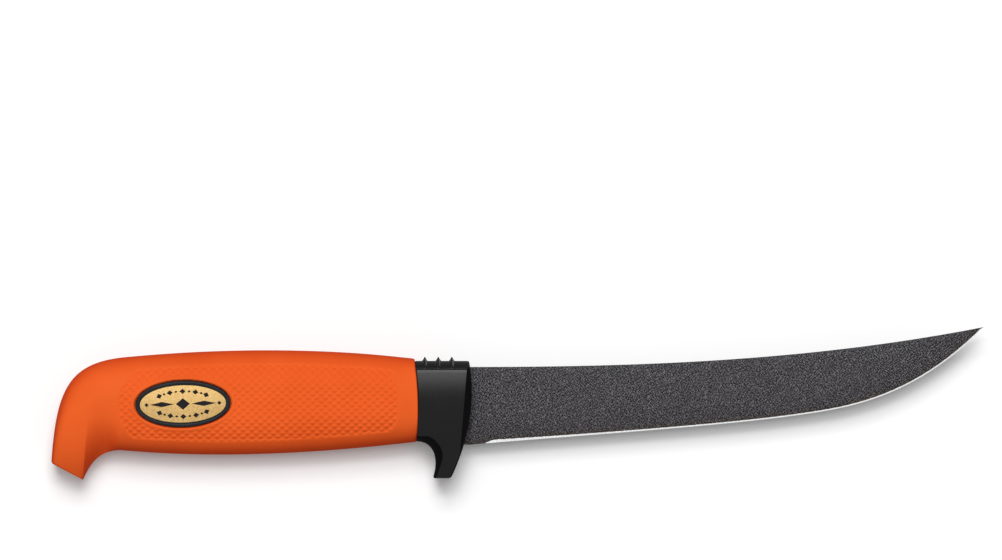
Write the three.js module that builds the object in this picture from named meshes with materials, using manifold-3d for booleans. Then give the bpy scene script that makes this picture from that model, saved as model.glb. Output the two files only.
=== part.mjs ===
// Carving knife lying on its flank: a coated blade with a hidden tang, a moulded finger guard,
// a hard core round the tang, a soft grip moulded over the core and an oval badge let into the grip.
// Millimetres. +X runs from the butt to the tip, +Y from the edge to the spine, +Z out of the upper flank.
// While it is drawn, X is 0 at the guard's front, Y on the handle's axis and Z in the blade's middle.
import * as THREE from "three";
import { mergeVertices } from "three/addons/utils/BufferGeometryUtils.js";
import Module from "manifold-3d";

// Gap left between neighbouring pieces
const CLEARANCE = 0.3;

// Blade outline, ahead of the guard
const BLADE_LENGTH = 169.6;
const SPINE_HEIGHT = 10.9; // spine above the axis at the guard
const HEEL_DEPTH = 14.45; // heel below the axis at the guard
const TIP_HEIGHT = 24.1; // tip above the axis
const SPINE_SWEEP = 11.1; // climb of the spine over its last third
const BELLY_START = 109; // where the edge begins to curve up, from the guard
const BELLY_DEPTH = 4.6; // edge below the axis there
const EDGE_BOW = 1.5; // bow of the long edge below a straight line
const BELLY_LEAD = 15; // stretch over which the belly keeps the long edge's slope
const TIP_ANGLE = 45.7; // slope of the edge where it meets the tip, degrees
const TIP_PULL = 33.5; // how far that slope draws the belly

// Blade section
const SPINE_THICKNESS = 2.2;
const SPINE_CHAMFER = 0.3;
const BEHIND_EDGE = 0.5; // thickness where the ground bevel starts
const BEVEL_WIDTH = 0.8;
const HEEL_LENGTH = 5.3; // heel left without a bevel
const BEVEL_RUN_IN = 3; // length over which the bevel comes to its width
const HEEL_ROUND = 0.25; // its rounded lower edge
const SHOULDER_DEPTH = 4; // full-height blade let into the guard

// Tang, inside the guard and the core
const TANG_LENGTH = 84; // from the guard's front
const TANG_ROOT = 1; // its overlap with the full-height blade
const TANG_HEIGHT = 14;
const TANG_END_HEIGHT = 10;
const TANG_HOLE = 5;
const TANG_HOLE_PITCH = 30;
const TANG_HOLE_INSET = 9; // last hole from the tang's end

// Guard
const GUARD_LENGTH = 17.1; // front to the middle of the joint with the grip
const GUARD_TOP = 12.9;
const GUARD_THICKNESS = 20.8;
const GUARD_TOP_THICKNESS = 18;
const HOLLOW_THICKNESS = 19.8; // level with the top of the finger hollow
const TOP_CORNER = 0.2; // set-back of the guard's top front corner
const CROWN_DROP = 2.9; // fall of the arched top from its middle to its edges
const TAIL_DEPTH = 25.8; // tail's end below the axis
const TAIL_THICKNESS = 13;
const TAIL_BACKSET = 6.3; // tail's front corner behind the guard's front
const TAIL_WIDTH = 6;
const HOLLOW_DEPTH = 13.6; // top of the finger hollow below the axis
const HOLLOW_REACH = 7.2; // how far forward from the joint the hollow is drawn
const HOLLOW_LEVEL = 4.7; // how far forward it stays level
const HOLLOW_TURN = 0.6; // where it turns down, as a share of the way up from the tail's end
const TAIL_EDGE = 0.5; // softened edge round the tail's end
const FRONT_BULGE = 2.85; // how far the front bows out past the line from top to tail
const EDGE_RADIUS = 2; // front and finger edges
const JOINT_EDGE = 0.6; // edge against the grip
const RIDGE_COUNT = 3;
const RIDGE_PITCH = 4.45;
const RIDGE_FIRST = 6; // first ridge behind the guard's front
const RIDGE_HEIGHT = 1.3;
const RIDGE_BASE = 1.8;
const RIDGE_TOP = 0.5;

// Joint of guard and grip: a wide upright curve that bows towards the blade
const JOINT_RADIUS = 120;
const JOINT_HEIGHT = -3.3; // its foremost point above the axis

// Grip side view
const GRIP_LENGTH = 121; // middle of the joint to the butt
const GRIP_FRONT_TOP = 13.65;
const GRIP_FRONT_DEPTH = 13.8;
const BACK_CREST = 16.4; // highest point of the back
const SHOULDER_FROM_BUTT = 26.1; // where the back turns down to the butt
const SHOULDER_HEIGHT = 14.3;
const BUTT_ROUND = 5.1; // distance from the butt at which the back's turn is drawn
const BUTT_ROUND_HEIGHT = 12.8;
const BUTT_FLAT = 1.8; // lean of the butt's lower half
const BUTT_FLAT_HEIGHT = 3.55;
const BUTT_CORNER_DEPTH = 20.7; // upper corner of the beak's cut below the axis
const BELLY_FORE = 17.55; // depths towards which the belly is drawn, before and behind its middle
const BELLY_AFT = 19.6;
const NECK_FROM_BUTT = 22.75; // narrowest place, where the little finger lies
const NECK_DEPTH = 16.55;
const NECK_RUN = 8.6; // length over which the hollow stays level
const BEAK_FROM_BUTT = 10.4; // beak's tip ahead of the butt
const BEAK_DEPTH = 26.3;
const BEAK_LEAN = 1.5; // how far the beak's inner side leans back over its last stretch
const BEAK_LEAN_RUN = 2.75;
const CUT_EDGE = 0.7; // softened edge round the beak's cut, except at its tip

// Grip thickness
const GRIP_THICKNESS = 24; // across the two flank flats
const CROWN = 0.25; // height that the flanks would have above the flats
const GRIP_FRONT_THICKNESS = 22.2;
const NECK_THICKNESS = 23.2;
const BUTT_THICKNESS = 24;
const BEAK_THINNING = 0.75; // share of the thickness that is lost at the beak's tip
const BEAK_CURVE = 3; // how late below the axis the thinning sets in
const FLANK_POWER = 2.6; // roundness of the section, from back to belly and across
const EDGE_POWER = 2.2;
const BEAK_POWER = 5; // squarer section of the beak's end
const FRONT_ROLL = 12; // length over which the grip comes to its full thickness
const NECK_TAPER = 18; // length over which it thins to the neck
const FLARE_SHARE = 0.5; // way round the hook to its thickest place
const SQUARE_SHARE = 0.3; // way round the hook from which it turns square

// Pommel crease: an edge from the beak's tip up the flank, ahead of which the flank rolls off to the belly
const CREASE_FROM_BUTT = 13.3; // upper end of the crease
const CREASE_TOP = 4; // where it has faded out, above the axis
const ROLL_POWER = 0.8; // how steeply the flank rolls off at the beak's tip

// Core under the grip
const GRIP_WALL = 4;
const BUTT_SOLID = 20; // butt without a core in it
const CORE_TURN = 0.7; // way round the hook that the core's skin is drawn before it is cut off

// Badge on the upper flank
const BADGE_LENGTH = 31.4;
const BADGE_HEIGHT = 15.3;
const BADGE_DEPTH = 1.5;
const BADGE_SINK = 0.6; // rim below the flank's flat
const BADGE_RIM = 1.4;
const BADGE_LIP = 0.45; // rounded edge of the rim
const BADGE_FLOOR = 0.5;
const PLATE_THICKNESS = 0.5;
const BADGE_FROM_JOINT = 77.4;
const BADGE_OFFSET = -1.2; // above the axis
const BADGE_TILT = 1.8; // degrees, front end up

// Mesh density
const BLADE_STATIONS = 40;
const BODY_STATIONS = 14;
const HOOK_STATIONS = 14;
const SECTION_POINTS = 32;
const BELLY_POINTS = 400;
const OVAL_POINTS = 48;
const CORNER_POINTS = 4;
const GUARD_STATIONS = 12;
const RIDGE_STATIONS = 8;
const TIP_RING = 0.3; // last section before the tip, in stations
const JOINT_FACETS = 160;
const ARCH_FACETS = 96;
const OVERRUN = 1; // length by which a piece is drawn past the face that cuts it
const BORE_FACETS = 24;

const wasm = await Module();
wasm.setup();

const jointX = -GUARD_LENGTH;
const buttX = jointX - GRIP_LENGTH;
const point = (x, y) => new THREE.Vector2(x, y);
const { clamp, lerp, smoothstep, degToRad } = THREE.MathUtils;

// A solid for joining and cutting, from any closed geometry.
function solid(geometry) {
  const bare = geometry.clone();
  bare.deleteAttribute("normal");
  bare.deleteAttribute("uv");
  const merged = mergeVertices(bare, 1e-4);
  const vertProperties = new Float32Array(merged.attributes.position.array);
  const triVerts = new Uint32Array(merged.index.array);
  return new wasm.Manifold(new wasm.Mesh({ numProp: 3, vertProperties, triVerts }));
}

// A named mesh, flat shaded, from a solid.
function piece(name, body, color, roughness, metalness) {
  const { vertProperties, triVerts, numProp } = body.getMesh();
  const geometry = new THREE.BufferGeometry();
  geometry.setAttribute("position", new THREE.BufferAttribute(new Float32Array(vertProperties), numProp));
  geometry.setIndex(new THREE.BufferAttribute(new Uint32Array(triVerts), 1));
  geometry.computeVertexNormals();
  const material = new THREE.MeshStandardMaterial({ color, roughness, metalness, flatShading: true });
  const mesh = new THREE.Mesh(geometry, material);
  mesh.name = name;
  return mesh;
}

// A closed skin over rings of points, each turning right-handed about the way the rings follow one another.
// Each end closes on a point: the one given, or else the middle of its ring.
function loft(rings, endPoint) {
  const count = rings[0].length;
  const middle = (ring) => ring.reduce((sum, p) => sum.add(p), new THREE.Vector3()).divideScalar(count);
  const points = [...rings.flat(), middle(rings[0]), endPoint ?? middle(rings.at(-1))];
  const first = rings.length * count;
  const triangles = [];
  for (let i = 0; i < count; i += 1) {
    const next = (i + 1) % count;
    for (let r = 0; r + 1 < rings.length; r += 1) {
      const a = r * count + i;
      const b = r * count + next;
      triangles.push(a, b, b + count, a, b + count, a + count);
    }
    const last = (rings.length - 1) * count;
    triangles.push(first, next, i, first + 1, last + i, last + next);
  }
  const geometry = new THREE.BufferGeometry().setFromPoints(points);
  geometry.setIndex(triangles);
  return geometry;
}

// A box between two corners.
function block(low, high) {
  const size = high.map((value, axis) => value - low[axis]);
  const centre = high.map((value, axis) => (value + low[axis]) / 2);
  return solid(new THREE.BoxGeometry(...size).translate(...centre));
}

// A round bar along Z.
function bar(radius, length, facets, x, y) {
  const geometry = new THREE.CylinderGeometry(radius, radius, length, facets);
  return solid(geometry.rotateX(Math.PI / 2).translate(x, y, 0));
}

// Blade: a flat grind of one angle from the spine to the bevel, so that the spine thins with the height.
const spine = new THREE.CubicBezierCurve(
  point(0, SPINE_HEIGHT),
  point(BLADE_LENGTH / 3, SPINE_HEIGHT),
  point((BLADE_LENGTH * 2) / 3, TIP_HEIGHT - SPINE_SWEEP),
  point(BLADE_LENGTH, TIP_HEIGHT),
);
const edgeHeight = (share) => lerp(-HEEL_DEPTH, -BELLY_DEPTH, share);
const longEdge = new THREE.CubicBezierCurve(
  point(0, -HEEL_DEPTH),
  point(BELLY_START / 4, edgeHeight(1 / 4)),
  point((BELLY_START * 3) / 4, edgeHeight(3 / 4) - EDGE_BOW),
  point(BELLY_START, -BELLY_DEPTH),
);
const bellyEdge = new THREE.CubicBezierCurve(
  longEdge.v3,
  longEdge.v3.clone().addScaledVector(longEdge.getTangent(1), BELLY_LEAD),
  spine.v3.clone().sub(point(TIP_PULL, 0).rotateAround(point(0, 0), degToRad(TIP_ANGLE))),
  spine.v3,
);
const edge = new THREE.CurvePath();
edge.add(longEdge);
edge.add(bellyEdge);
const grindSlope = (SPINE_THICKNESS - BEHIND_EDGE) / 2 / (SPINE_HEIGHT + HEEL_DEPTH - BEVEL_WIDTH);

function bladeSection(share, shift) {
  const back = spine.getPointAt(share);
  const cutting = edge.getPoint(share);
  const height = back.distanceTo(cutting);
  const sharpened = smoothstep(cutting.x, HEEL_LENGTH, HEEL_LENGTH + BEVEL_RUN_IN);
  const bevel = Math.min(lerp(HEEL_ROUND, BEVEL_WIDTH, sharpened), height / 2);
  const down = cutting.clone().sub(back).divideScalar(height);
  const chamfer = Math.min(SPINE_CHAMFER, height / 4);
  const at = (depth, z) => new THREE.Vector3(back.x + down.x * depth + shift, back.y + down.y * depth, z);
  const half = BEHIND_EDGE / 2 + grindSlope * (height - bevel);
  const flank = half - grindSlope * chamfer;
  const spineHalf = half / 2 + Math.max(half / 2 - chamfer, 0);
  return [
    at(0, spineHalf),
    at(chamfer, flank),
    at(height - bevel, BEHIND_EDGE / 2),
    at(height, 0),
    at(height - bevel, -BEHIND_EDGE / 2),
    at(chamfer, -flank),
    at(0, -spineHalf),
  ];
}

// Outline of the tang from above its flank, grown on every side to make its pocket.
function tangShape(grow) {
  const front = point(-SHOULDER_DEPTH + TANG_ROOT, TANG_HEIGHT / 2 + grow);
  const end = point(-TANG_LENGTH - grow, TANG_END_HEIGHT / 2 + grow);
  return new THREE.Shape([front, end, point(end.x, -end.y), point(front.x, -front.y)]);
}

function tangSolid(grow) {
  const depth = SPINE_THICKNESS + 2 * grow;
  const geometry = new THREE.ExtrudeGeometry(tangShape(grow), { depth, bevelEnabled: false });
  return solid(geometry.translate(0, 0, -depth / 2));
}

const tangHoles = [0, 1].map((n) => -TANG_LENGTH + TANG_HOLE_INSET + n * TANG_HOLE_PITCH);

function makeBlade() {
  const rings = [bladeSection(0, -SHOULDER_DEPTH)];
  for (let i = 0; i < BLADE_STATIONS; i += 1) {
    rings.push(bladeSection(i / BLADE_STATIONS, 0));
  }
  rings.push(bladeSection(1 - TIP_RING / BLADE_STATIONS, 0));
  let body = solid(loft(rings, new THREE.Vector3(BLADE_LENGTH, TIP_HEIGHT, 0))).add(tangSolid(0));
  for (const x of tangHoles) {
    body = body.subtract(bar(TANG_HOLE / 2, SPINE_THICKNESS * 3, BORE_FACETS, x, 0));
  }
  return piece("blade", body, 0x4b494c, 0.55, 0.4);
}

// Joint face shared by the guard, the core and the grip.
const jointBar = (grow) =>
  bar(JOINT_RADIUS + grow, GRIP_THICKNESS * 3, JOINT_FACETS, jointX - JOINT_RADIUS, JOINT_HEIGHT);

// Guard: level sections from the tail up to the top, cut to an arch with ridges across it.
const tailCorner = point(-TAIL_BACKSET, -TAIL_DEPTH);
const guardFront = new THREE.QuadraticBezierCurve(
  tailCorner,
  point(FRONT_BULGE, -HOLLOW_DEPTH / 2),
  point(-TOP_CORNER, GUARD_TOP),
);
const hollowTop = point(jointX - OVERRUN, -HOLLOW_DEPTH);
const hollowEnd = point(-TAIL_BACKSET - TAIL_WIDTH, -TAIL_DEPTH);
const fingerHollow = new THREE.CubicBezierCurve(
  hollowEnd,
  point(jointX + HOLLOW_REACH, lerp(-TAIL_DEPTH, -HOLLOW_DEPTH, HOLLOW_TURN)),
  point(jointX + HOLLOW_LEVEL, -HOLLOW_DEPTH),
  hollowTop,
);
const guardFlank = new THREE.SplineCurve([
  point(TAIL_THICKNESS / 2, -TAIL_DEPTH),
  point(HOLLOW_THICKNESS / 2, -HOLLOW_DEPTH),
  point(GUARD_THICKNESS / 2, 0),
  point(GUARD_TOP_THICKNESS / 2, GUARD_TOP),
]);

// X of a curve that climbs steadily in Y, at a given height.
function acrossAt(curve, y) {
  let low = 0;
  let high = 1;
  for (let i = 0; i < 40; i += 1) {
    const middle = (low + high) / 2;
    if (curve.getPoint(middle).y < y) {
      low = middle;
    } else {
      high = middle;
    }
  }
  return curve.getPoint(low).x;
}

// Rounded rectangle at one height, turning from +Z to +X.
function levelSection(y, rear, front, half, rearRadius, frontRadius) {
  const corners = [
    [rear + rearRadius, half - rearRadius, rearRadius, -Math.PI / 2],
    [front - frontRadius, half - frontRadius, frontRadius, 0],
    [front - frontRadius, frontRadius - half, frontRadius, Math.PI / 2],
    [rear + rearRadius, rearRadius - half, rearRadius, Math.PI],
  ];
  const ring = [];
  for (const [x, z, radius, start] of corners) {
    for (let i = 0; i <= CORNER_POINTS; i += 1) {
      const turn = start + (i / CORNER_POINTS) * (Math.PI / 2);
      ring.push(new THREE.Vector3(x + Math.sin(turn) * radius, y, z + Math.cos(turn) * radius));
    }
  }
  return ring;
}

function guardSection(rear, y, inset) {
  const half = acrossAt(guardFlank, y) - inset;
  const front = acrossAt(guardFront, y) - inset;
  const freed = smoothstep(rear, jointX, jointX + HOLLOW_LEVEL);
  return levelSection(y, rear + inset, front, half, lerp(JOINT_EDGE, EDGE_RADIUS, freed), EDGE_RADIUS);
}

// One ridge laid over the arched top.
function ridge(x, archRadius, archCentre, reach) {
  const rings = [];
  for (let i = 0; i <= RIDGE_STATIONS; i += 1) {
    const turn = lerp(-reach, reach, i / RIDGE_STATIONS);
    const at = (dx, radius) =>
      new THREE.Vector3(x + dx, archCentre + Math.cos(turn) * radius, Math.sin(turn) * radius);
    const root = archRadius - CLEARANCE;
    const crest = archRadius + RIDGE_HEIGHT;
    const foot = [at(-RIDGE_BASE / 2, root), at(RIDGE_BASE / 2, root)];
    const top = [at(RIDGE_TOP / 2, crest), at(-RIDGE_TOP / 2, crest)];
    rings.push([...foot, ...top]);
  }
  return solid(loft(rings));
}

function makeGuard() {
  const rings = [guardSection(hollowEnd.x, -TAIL_DEPTH, TAIL_EDGE)];
  rings.push(guardSection(hollowEnd.x, -TAIL_DEPTH + TAIL_EDGE, 0));
  for (let i = 1; i <= GUARD_STATIONS; i += 1) {
    const rear = fingerHollow.getPoint(i / GUARD_STATIONS);
    rings.push(guardSection(rear.x, rear.y, 0));
  }
  for (let i = 1; i <= GUARD_STATIONS; i += 1) {
    rings.push(guardSection(hollowTop.x, lerp(-HOLLOW_DEPTH, GUARD_TOP, i / GUARD_STATIONS), 0));
  }
  const shoulder = GUARD_TOP_THICKNESS / 2;
  const archRadius = (shoulder ** 2 + CROWN_DROP ** 2) / (2 * CROWN_DROP);
  const archCentre = GUARD_TOP - archRadius;
  const lying = bar(archRadius, GUARD_LENGTH * 3, ARCH_FACETS, 0, 0).rotate([0, 90, 0]);
  const arch = lying.translate([0, archCentre, 0]);
  const below = block(
    [-GUARD_LENGTH * 2, -TAIL_DEPTH * 2, -GUARD_THICKNESS],
    [GUARD_LENGTH, GUARD_TOP - CROWN_DROP, GUARD_THICKNESS],
  );
  let body = solid(loft(rings)).intersect(arch.add(below));
  const reach = Math.asin(shoulder / archRadius);
  for (let i = 0; i < RIDGE_COUNT; i += 1) {
    body = body.add(ridge(-RIDGE_FIRST - i * RIDGE_PITCH, archRadius, archCentre, reach));
  }
  const slotHalf = SPINE_THICKNESS / 2 + CLEARANCE;
  const bladeSlot = block(
    [-SHOULDER_DEPTH - CLEARANCE, -HEEL_DEPTH - CLEARANCE, -slotHalf],
    [GUARD_LENGTH, SPINE_HEIGHT + CLEARANCE, slotHalf],
  );
  body = body.subtract(bladeSlot).subtract(tangSolid(CLEARANCE)).subtract(jointBar(CLEARANCE));
  return piece("guard", body, 0x232324, 0.5, 0);
}

// Handle sections: each spans from a point on the back to a point on the belly.
const crestPull = (8 * BACK_CREST - GRIP_FRONT_TOP - SHOULDER_HEIGHT) / 6;
const shoulderX = buttX + SHOULDER_FROM_BUTT;
const neckX = buttX + NECK_FROM_BUTT;
const beakX = buttX + BEAK_FROM_BUTT;
const backBody = new THREE.CubicBezierCurve(
  point(jointX, GRIP_FRONT_TOP),
  point(lerp(jointX, shoulderX, 1 / 3), crestPull),
  point(lerp(jointX, shoulderX, 2 / 3), crestPull),
  point(shoulderX, SHOULDER_HEIGHT),
);
const backHook = new THREE.CubicBezierCurve(
  backBody.v3,
  point(buttX + BUTT_ROUND, BUTT_ROUND_HEIGHT),
  point(buttX + BUTT_FLAT, BUTT_FLAT_HEIGHT),
  point(buttX, -BUTT_CORNER_DEPTH),
);
const bellyBody = new THREE.CubicBezierCurve(
  point(jointX, -GRIP_FRONT_DEPTH),
  point(lerp(jointX, neckX, 1 / 3), -BELLY_FORE),
  point(lerp(jointX, neckX, 2 / 3), -BELLY_AFT),
  point(neckX, -NECK_DEPTH),
);
const bellyHook = new THREE.CubicBezierCurve(
  bellyBody.v3,
  point(neckX - NECK_RUN, -NECK_DEPTH),
  point(beakX + BEAK_LEAN, -BEAK_DEPTH + BEAK_LEAN_RUN),
  point(beakX, -BEAK_DEPTH),
);

// Distance of a place on the flank from the belly.
const bellyLine = [bellyBody, bellyHook].flatMap((curve) => curve.getSpacedPoints(BELLY_POINTS));
const fromBelly = (x, y) => Math.min(...bellyLine.map((p) => Math.hypot(p.x - x, p.y - y)));

// The hook's flank at a place, thinned towards the beak and rolled off towards the belly ahead of the crease.
function rolledOff(x, y, flank) {
  const thinned = flank * (1 - BEAK_THINNING * clamp(-y / BEAK_DEPTH, 0, 1) ** BEAK_CURVE);
  const down = clamp((CREASE_TOP - y) / (CREASE_TOP + BEAK_DEPTH), 0, 1);
  const ahead = Math.max(x - lerp(buttX + CREASE_FROM_BUTT, beakX, down), 0);
  const left = fromBelly(x, y);
  return ahead > 0 ? thinned * (left / (ahead + left)) ** (ROLL_POWER * down) : thinned;
}

// One section, at a share of the way round the hook, set in by a given depth.
function handleSection(back, belly, half, share, inset) {
  const centre = back.clone().add(belly).divideScalar(2);
  const up = back.clone().sub(centre);
  const reach = up.length() - inset;
  up.normalize();
  const squareness = smoothstep(share, SQUARE_SHARE, 1);
  const flankPower = lerp(FLANK_POWER, BEAK_POWER, squareness);
  const edgePower = lerp(EDGE_POWER, BEAK_POWER, squareness);
  const hooked = smoothstep(share, 0, SQUARE_SHARE);
  const ring = [];
  for (let i = 0; i < SECTION_POINTS; i += 1) {
    const turn = (i / SECTION_POINTS) * Math.PI * 2;
    const along = Math.sign(Math.cos(turn)) * Math.abs(Math.cos(turn)) ** (2 / flankPower) * reach;
    const flank = Math.abs(Math.sin(turn)) ** (2 / edgePower) * (half - inset);
    const x = centre.x + up.x * along;
    const y = centre.y + up.y * along;
    const away = lerp(flank, rolledOff(x, y, flank), hooked);
    ring.push(new THREE.Vector3(x, y, -Math.sign(Math.sin(turn)) * away));
  }
  return ring;
}

// The handle's sections, set in by a given depth, from the joint to a share of the way round the hook.
function handleRings(inset, reach) {
  const swell = GRIP_THICKNESS / 2 + CROWN;
  const rings = [];
  for (let i = 0; i < BODY_STATIONS; i += 1) {
    const share = i / BODY_STATIONS;
    const passed = share * backBody.getLength();
    const left = backBody.getLength() - passed;
    const risen = lerp(GRIP_FRONT_THICKNESS / 2, swell, smoothstep(passed, 0, FRONT_ROLL));
    const half = lerp(NECK_THICKNESS / 2, risen, smoothstep(left, 0, NECK_TAPER));
    rings.push(handleSection(backBody.getPointAt(share), bellyBody.getPointAt(share), half, 0, inset));
  }
  for (let i = 0; i <= HOOK_STATIONS; i += 1) {
    const share = (reach * i) / HOOK_STATIONS;
    const half = lerp(NECK_THICKNESS / 2, BUTT_THICKNESS / 2, smoothstep(share, 0, FLARE_SHARE));
    rings.push(handleSection(backHook.getPointAt(share), bellyHook.getPointAt(share), half, share, inset));
  }
  return rings;
}

// The outside of the grip, closed by the beak's flat cut.
function gripSolid() {
  const rings = handleRings(0, 1 - CUT_EDGE / backHook.getLength());
  const towardsTip = bellyHook.v3.clone().sub(backHook.v3).normalize();
  const corner = backHook.v3.clone().addScaledVector(towardsTip, CUT_EDGE);
  rings.push(handleSection(corner, bellyHook.v3, BUTT_THICKNESS / 2 - CUT_EDGE, 1, 0));
  return solid(loft(rings));
}

// Space for the core, grown to make the grip's hollow.
function coreSpace(grow) {
  const ahead = block(
    [buttX + BUTT_SOLID - grow, -BEAK_DEPTH, -GRIP_THICKNESS],
    [GUARD_LENGTH, BEAK_DEPTH, GRIP_THICKNESS],
  );
  return solid(loft(handleRings(GRIP_WALL + CLEARANCE - grow, CORE_TURN))).intersect(ahead);
}

function makeCore() {
  let pocket = tangSolid(CLEARANCE);
  for (const x of tangHoles) {
    pocket = pocket.subtract(bar(TANG_HOLE / 2 - CLEARANCE, GRIP_THICKNESS, BORE_FACETS, x, 0));
  }
  const body = coreSpace(0).intersect(jointBar(0)).subtract(pocket);
  return piece("handle_core", body, 0x2a2a2c, 0.6, 0);
}

// Oval of a badge layer, with a given inset from the badge's outline.
function oval(inset, z) {
  const ring = [];
  for (let i = 0; i < OVAL_POINTS; i += 1) {
    const turn = (i / OVAL_POINTS) * Math.PI * 2;
    const x = Math.cos(turn) * (BADGE_LENGTH / 2 - inset);
    const y = Math.sin(turn) * (BADGE_HEIGHT / 2 - inset);
    ring.push(new THREE.Vector3(x, y, z));
  }
  return ring;
}

const badgePlace = new THREE.Matrix4()
  .makeRotationZ(degToRad(BADGE_TILT))
  .setPosition(jointX - BADGE_FROM_JOINT, BADGE_OFFSET, GRIP_THICKNESS / 2 - BADGE_SINK - BADGE_DEPTH);

function makeGrip() {
  const flats = block(
    [buttX * 2, -BEAK_DEPTH * 2, -GRIP_THICKNESS / 2],
    [0, BEAK_DEPTH * 2, GRIP_THICKNESS / 2],
  );
  const recess = loft([oval(-CLEARANCE, -CLEARANCE), oval(-CLEARANCE, GRIP_THICKNESS)]);
  const body = gripSolid()
    .intersect(flats)
    .intersect(jointBar(0))
    .subtract(coreSpace(CLEARANCE))
    .subtract(solid(recess.applyMatrix4(badgePlace)));
  return piece("grip", body, 0xe85f28, 0.5, 0);
}

// Badge: an oval cup with a rounded rim, and a plate lying in it.
function makeBadge() {
  const cup = loft([
    oval(0, 0),
    oval(0, BADGE_DEPTH - BADGE_LIP),
    oval(BADGE_LIP, BADGE_DEPTH),
    oval(BADGE_RIM - BADGE_LIP, BADGE_DEPTH),
    oval(BADGE_RIM, BADGE_DEPTH - BADGE_LIP),
    oval(BADGE_RIM, BADGE_FLOOR),
  ]);
  const plateInset = BADGE_RIM + CLEARANCE;
  const plateFoot = BADGE_FLOOR + CLEARANCE;
  const plate = loft([oval(plateInset, plateFoot), oval(plateInset, plateFoot + PLATE_THICKNESS)]);
  const badge = new THREE.Group();
  badge.add(piece("badge_frame", solid(cup), 0x2e3338, 0.4, 0));
  badge.add(piece("badge_plate", solid(plate), 0xd9b45f, 0.35, 0.8));
  badge.applyMatrix4(badgePlace);
  return badge;
}

const knife = new THREE.Group();
knife.add(makeBlade(), makeGuard(), makeCore(), makeGrip(), makeBadge());

// The finished knife stands on its lower flank, with the origin under the middle of its outline.
const extent = new THREE.Box3().setFromObject(knife, true);
const middle = extent.getCenter(new THREE.Vector3());
knife.position.set(-middle.x, -middle.y, -extent.min.z);

export default knife;
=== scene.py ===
import math

import bmesh
import bpy
import numpy as np
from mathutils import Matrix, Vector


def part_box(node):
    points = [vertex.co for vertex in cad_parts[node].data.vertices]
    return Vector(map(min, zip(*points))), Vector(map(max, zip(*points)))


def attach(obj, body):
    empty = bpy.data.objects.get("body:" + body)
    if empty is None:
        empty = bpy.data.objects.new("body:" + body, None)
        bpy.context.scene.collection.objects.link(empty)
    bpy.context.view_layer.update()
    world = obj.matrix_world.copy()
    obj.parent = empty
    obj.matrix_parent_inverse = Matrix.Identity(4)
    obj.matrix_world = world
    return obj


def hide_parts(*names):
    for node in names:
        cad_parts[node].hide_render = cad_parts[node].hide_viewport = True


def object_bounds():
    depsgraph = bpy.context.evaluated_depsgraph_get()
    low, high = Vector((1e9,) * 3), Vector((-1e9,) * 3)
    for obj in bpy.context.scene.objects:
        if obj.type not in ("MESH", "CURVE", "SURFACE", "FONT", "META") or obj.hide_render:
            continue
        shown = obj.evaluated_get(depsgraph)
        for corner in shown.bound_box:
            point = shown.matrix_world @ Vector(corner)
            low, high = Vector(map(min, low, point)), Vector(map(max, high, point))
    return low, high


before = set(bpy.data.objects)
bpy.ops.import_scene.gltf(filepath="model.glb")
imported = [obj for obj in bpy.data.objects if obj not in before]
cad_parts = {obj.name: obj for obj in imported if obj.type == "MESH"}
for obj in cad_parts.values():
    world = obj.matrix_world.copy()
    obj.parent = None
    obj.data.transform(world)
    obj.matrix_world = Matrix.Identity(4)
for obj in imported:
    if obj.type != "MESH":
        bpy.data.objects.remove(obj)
cad_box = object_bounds()

# Blade
# One sheet of stainless steel, ground flat on both flanks towards the edge and coated dark grey. The edge
# is sharpened after the coating, so its narrow bevel is bare steel. The tang runs back inside the handle.
# Drawn in millimetres: X from the guard's front, Y from the handle's axis, Z from the middle of the blade.
MM = 0.001
CLEARANCE = 0.3
BLADE_LENGTH = 169.6
SPINE_HEIGHT = 10.9
HEEL_DEPTH = 14.75
TIP_HEIGHT = 24.1
SPINE_SWEEP = 11.1
BELLY_START = 109.0
BELLY_DEPTH = 4.85
EDGE_BOW = 1.5
BELLY_LEAD = 15.0
TIP_ANGLE = math.radians(45.7)
TIP_PULL = 33.5
SPINE_THICKNESS = 2.2
SPINE_ROUND = 0.3
BEHIND_EDGE = 0.5
BEVEL_WIDTH = 0.8
HEEL_BEVEL = 1.02
TIP_BEVEL = 0.42
BEVEL_NARROWING = 24.0
HEEL_LENGTH = 5.0
BEVEL_RUN_IN = 3.2
HEEL_ROUND = 0.25
BEVEL_WANDER = ((0.05, 2.1, 0.0), (0.04, 4.7, 1.0), (0.03, 8.9, 0.0))
ROUND_LIMIT = 0.8
SHOULDER_DEPTH = 4.0
TANG_LENGTH = 84.0
TANG_HEIGHT = 14.0
TANG_END_HEIGHT = 10.0
TANG_HOLE = 5.0
TANG_HOLE_PITCH = 30.0
TANG_HOLE_INSET = 9.0
BLADE_STATIONS = 720
LAST_STATION = 0.9985
ROLL_POINTS = 6
FLANK_ROWS = (0.2, 0.4, 0.6, 0.8)
TANG_FIRST_ROW = 0.1
CURVE_POINTS = 1500
LINE_STEP = 8
PEG_POINTS = 48
WELD = 1e-4
BLADE_CREASE = 30.0
DARKENING_SPAN = 10.0
BROWN_BAND = (1.7, 1.0, 0.4, 0.0)
BANDS_PER_HEIGHT = 10.0
BROWNING = (
    (0.0, (0.68, 0.59, 0.45)),
    (0.1, (0.78, 0.72, 0.67)),
    (0.17, (0.80, 0.77, 0.78)),
    (0.4, (0.87, 0.86, 0.87)),
    (1.0, (0.96, 0.96, 0.96)),
)
FLAKE_SCALE = 5600.0
FLAKE_STEP = 0.46
FLAKE_CONTRAST = 0.2
FLAKE_SHADES = ((0.21, (2, 2, 3)), (0.50, (20, 19, 21)), (0.82, (142, 139, 144)))
SPARK_SCALE = 2400.0
SPARK_SHADES = ((0.8, (0, 0, 0)), (0.88, (84, 83, 86)))
COATING_GLOSS = (0.45, 0.7)
COATING_SPECULAR = 0.15
COATING_GRAIN = 0.03
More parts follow.
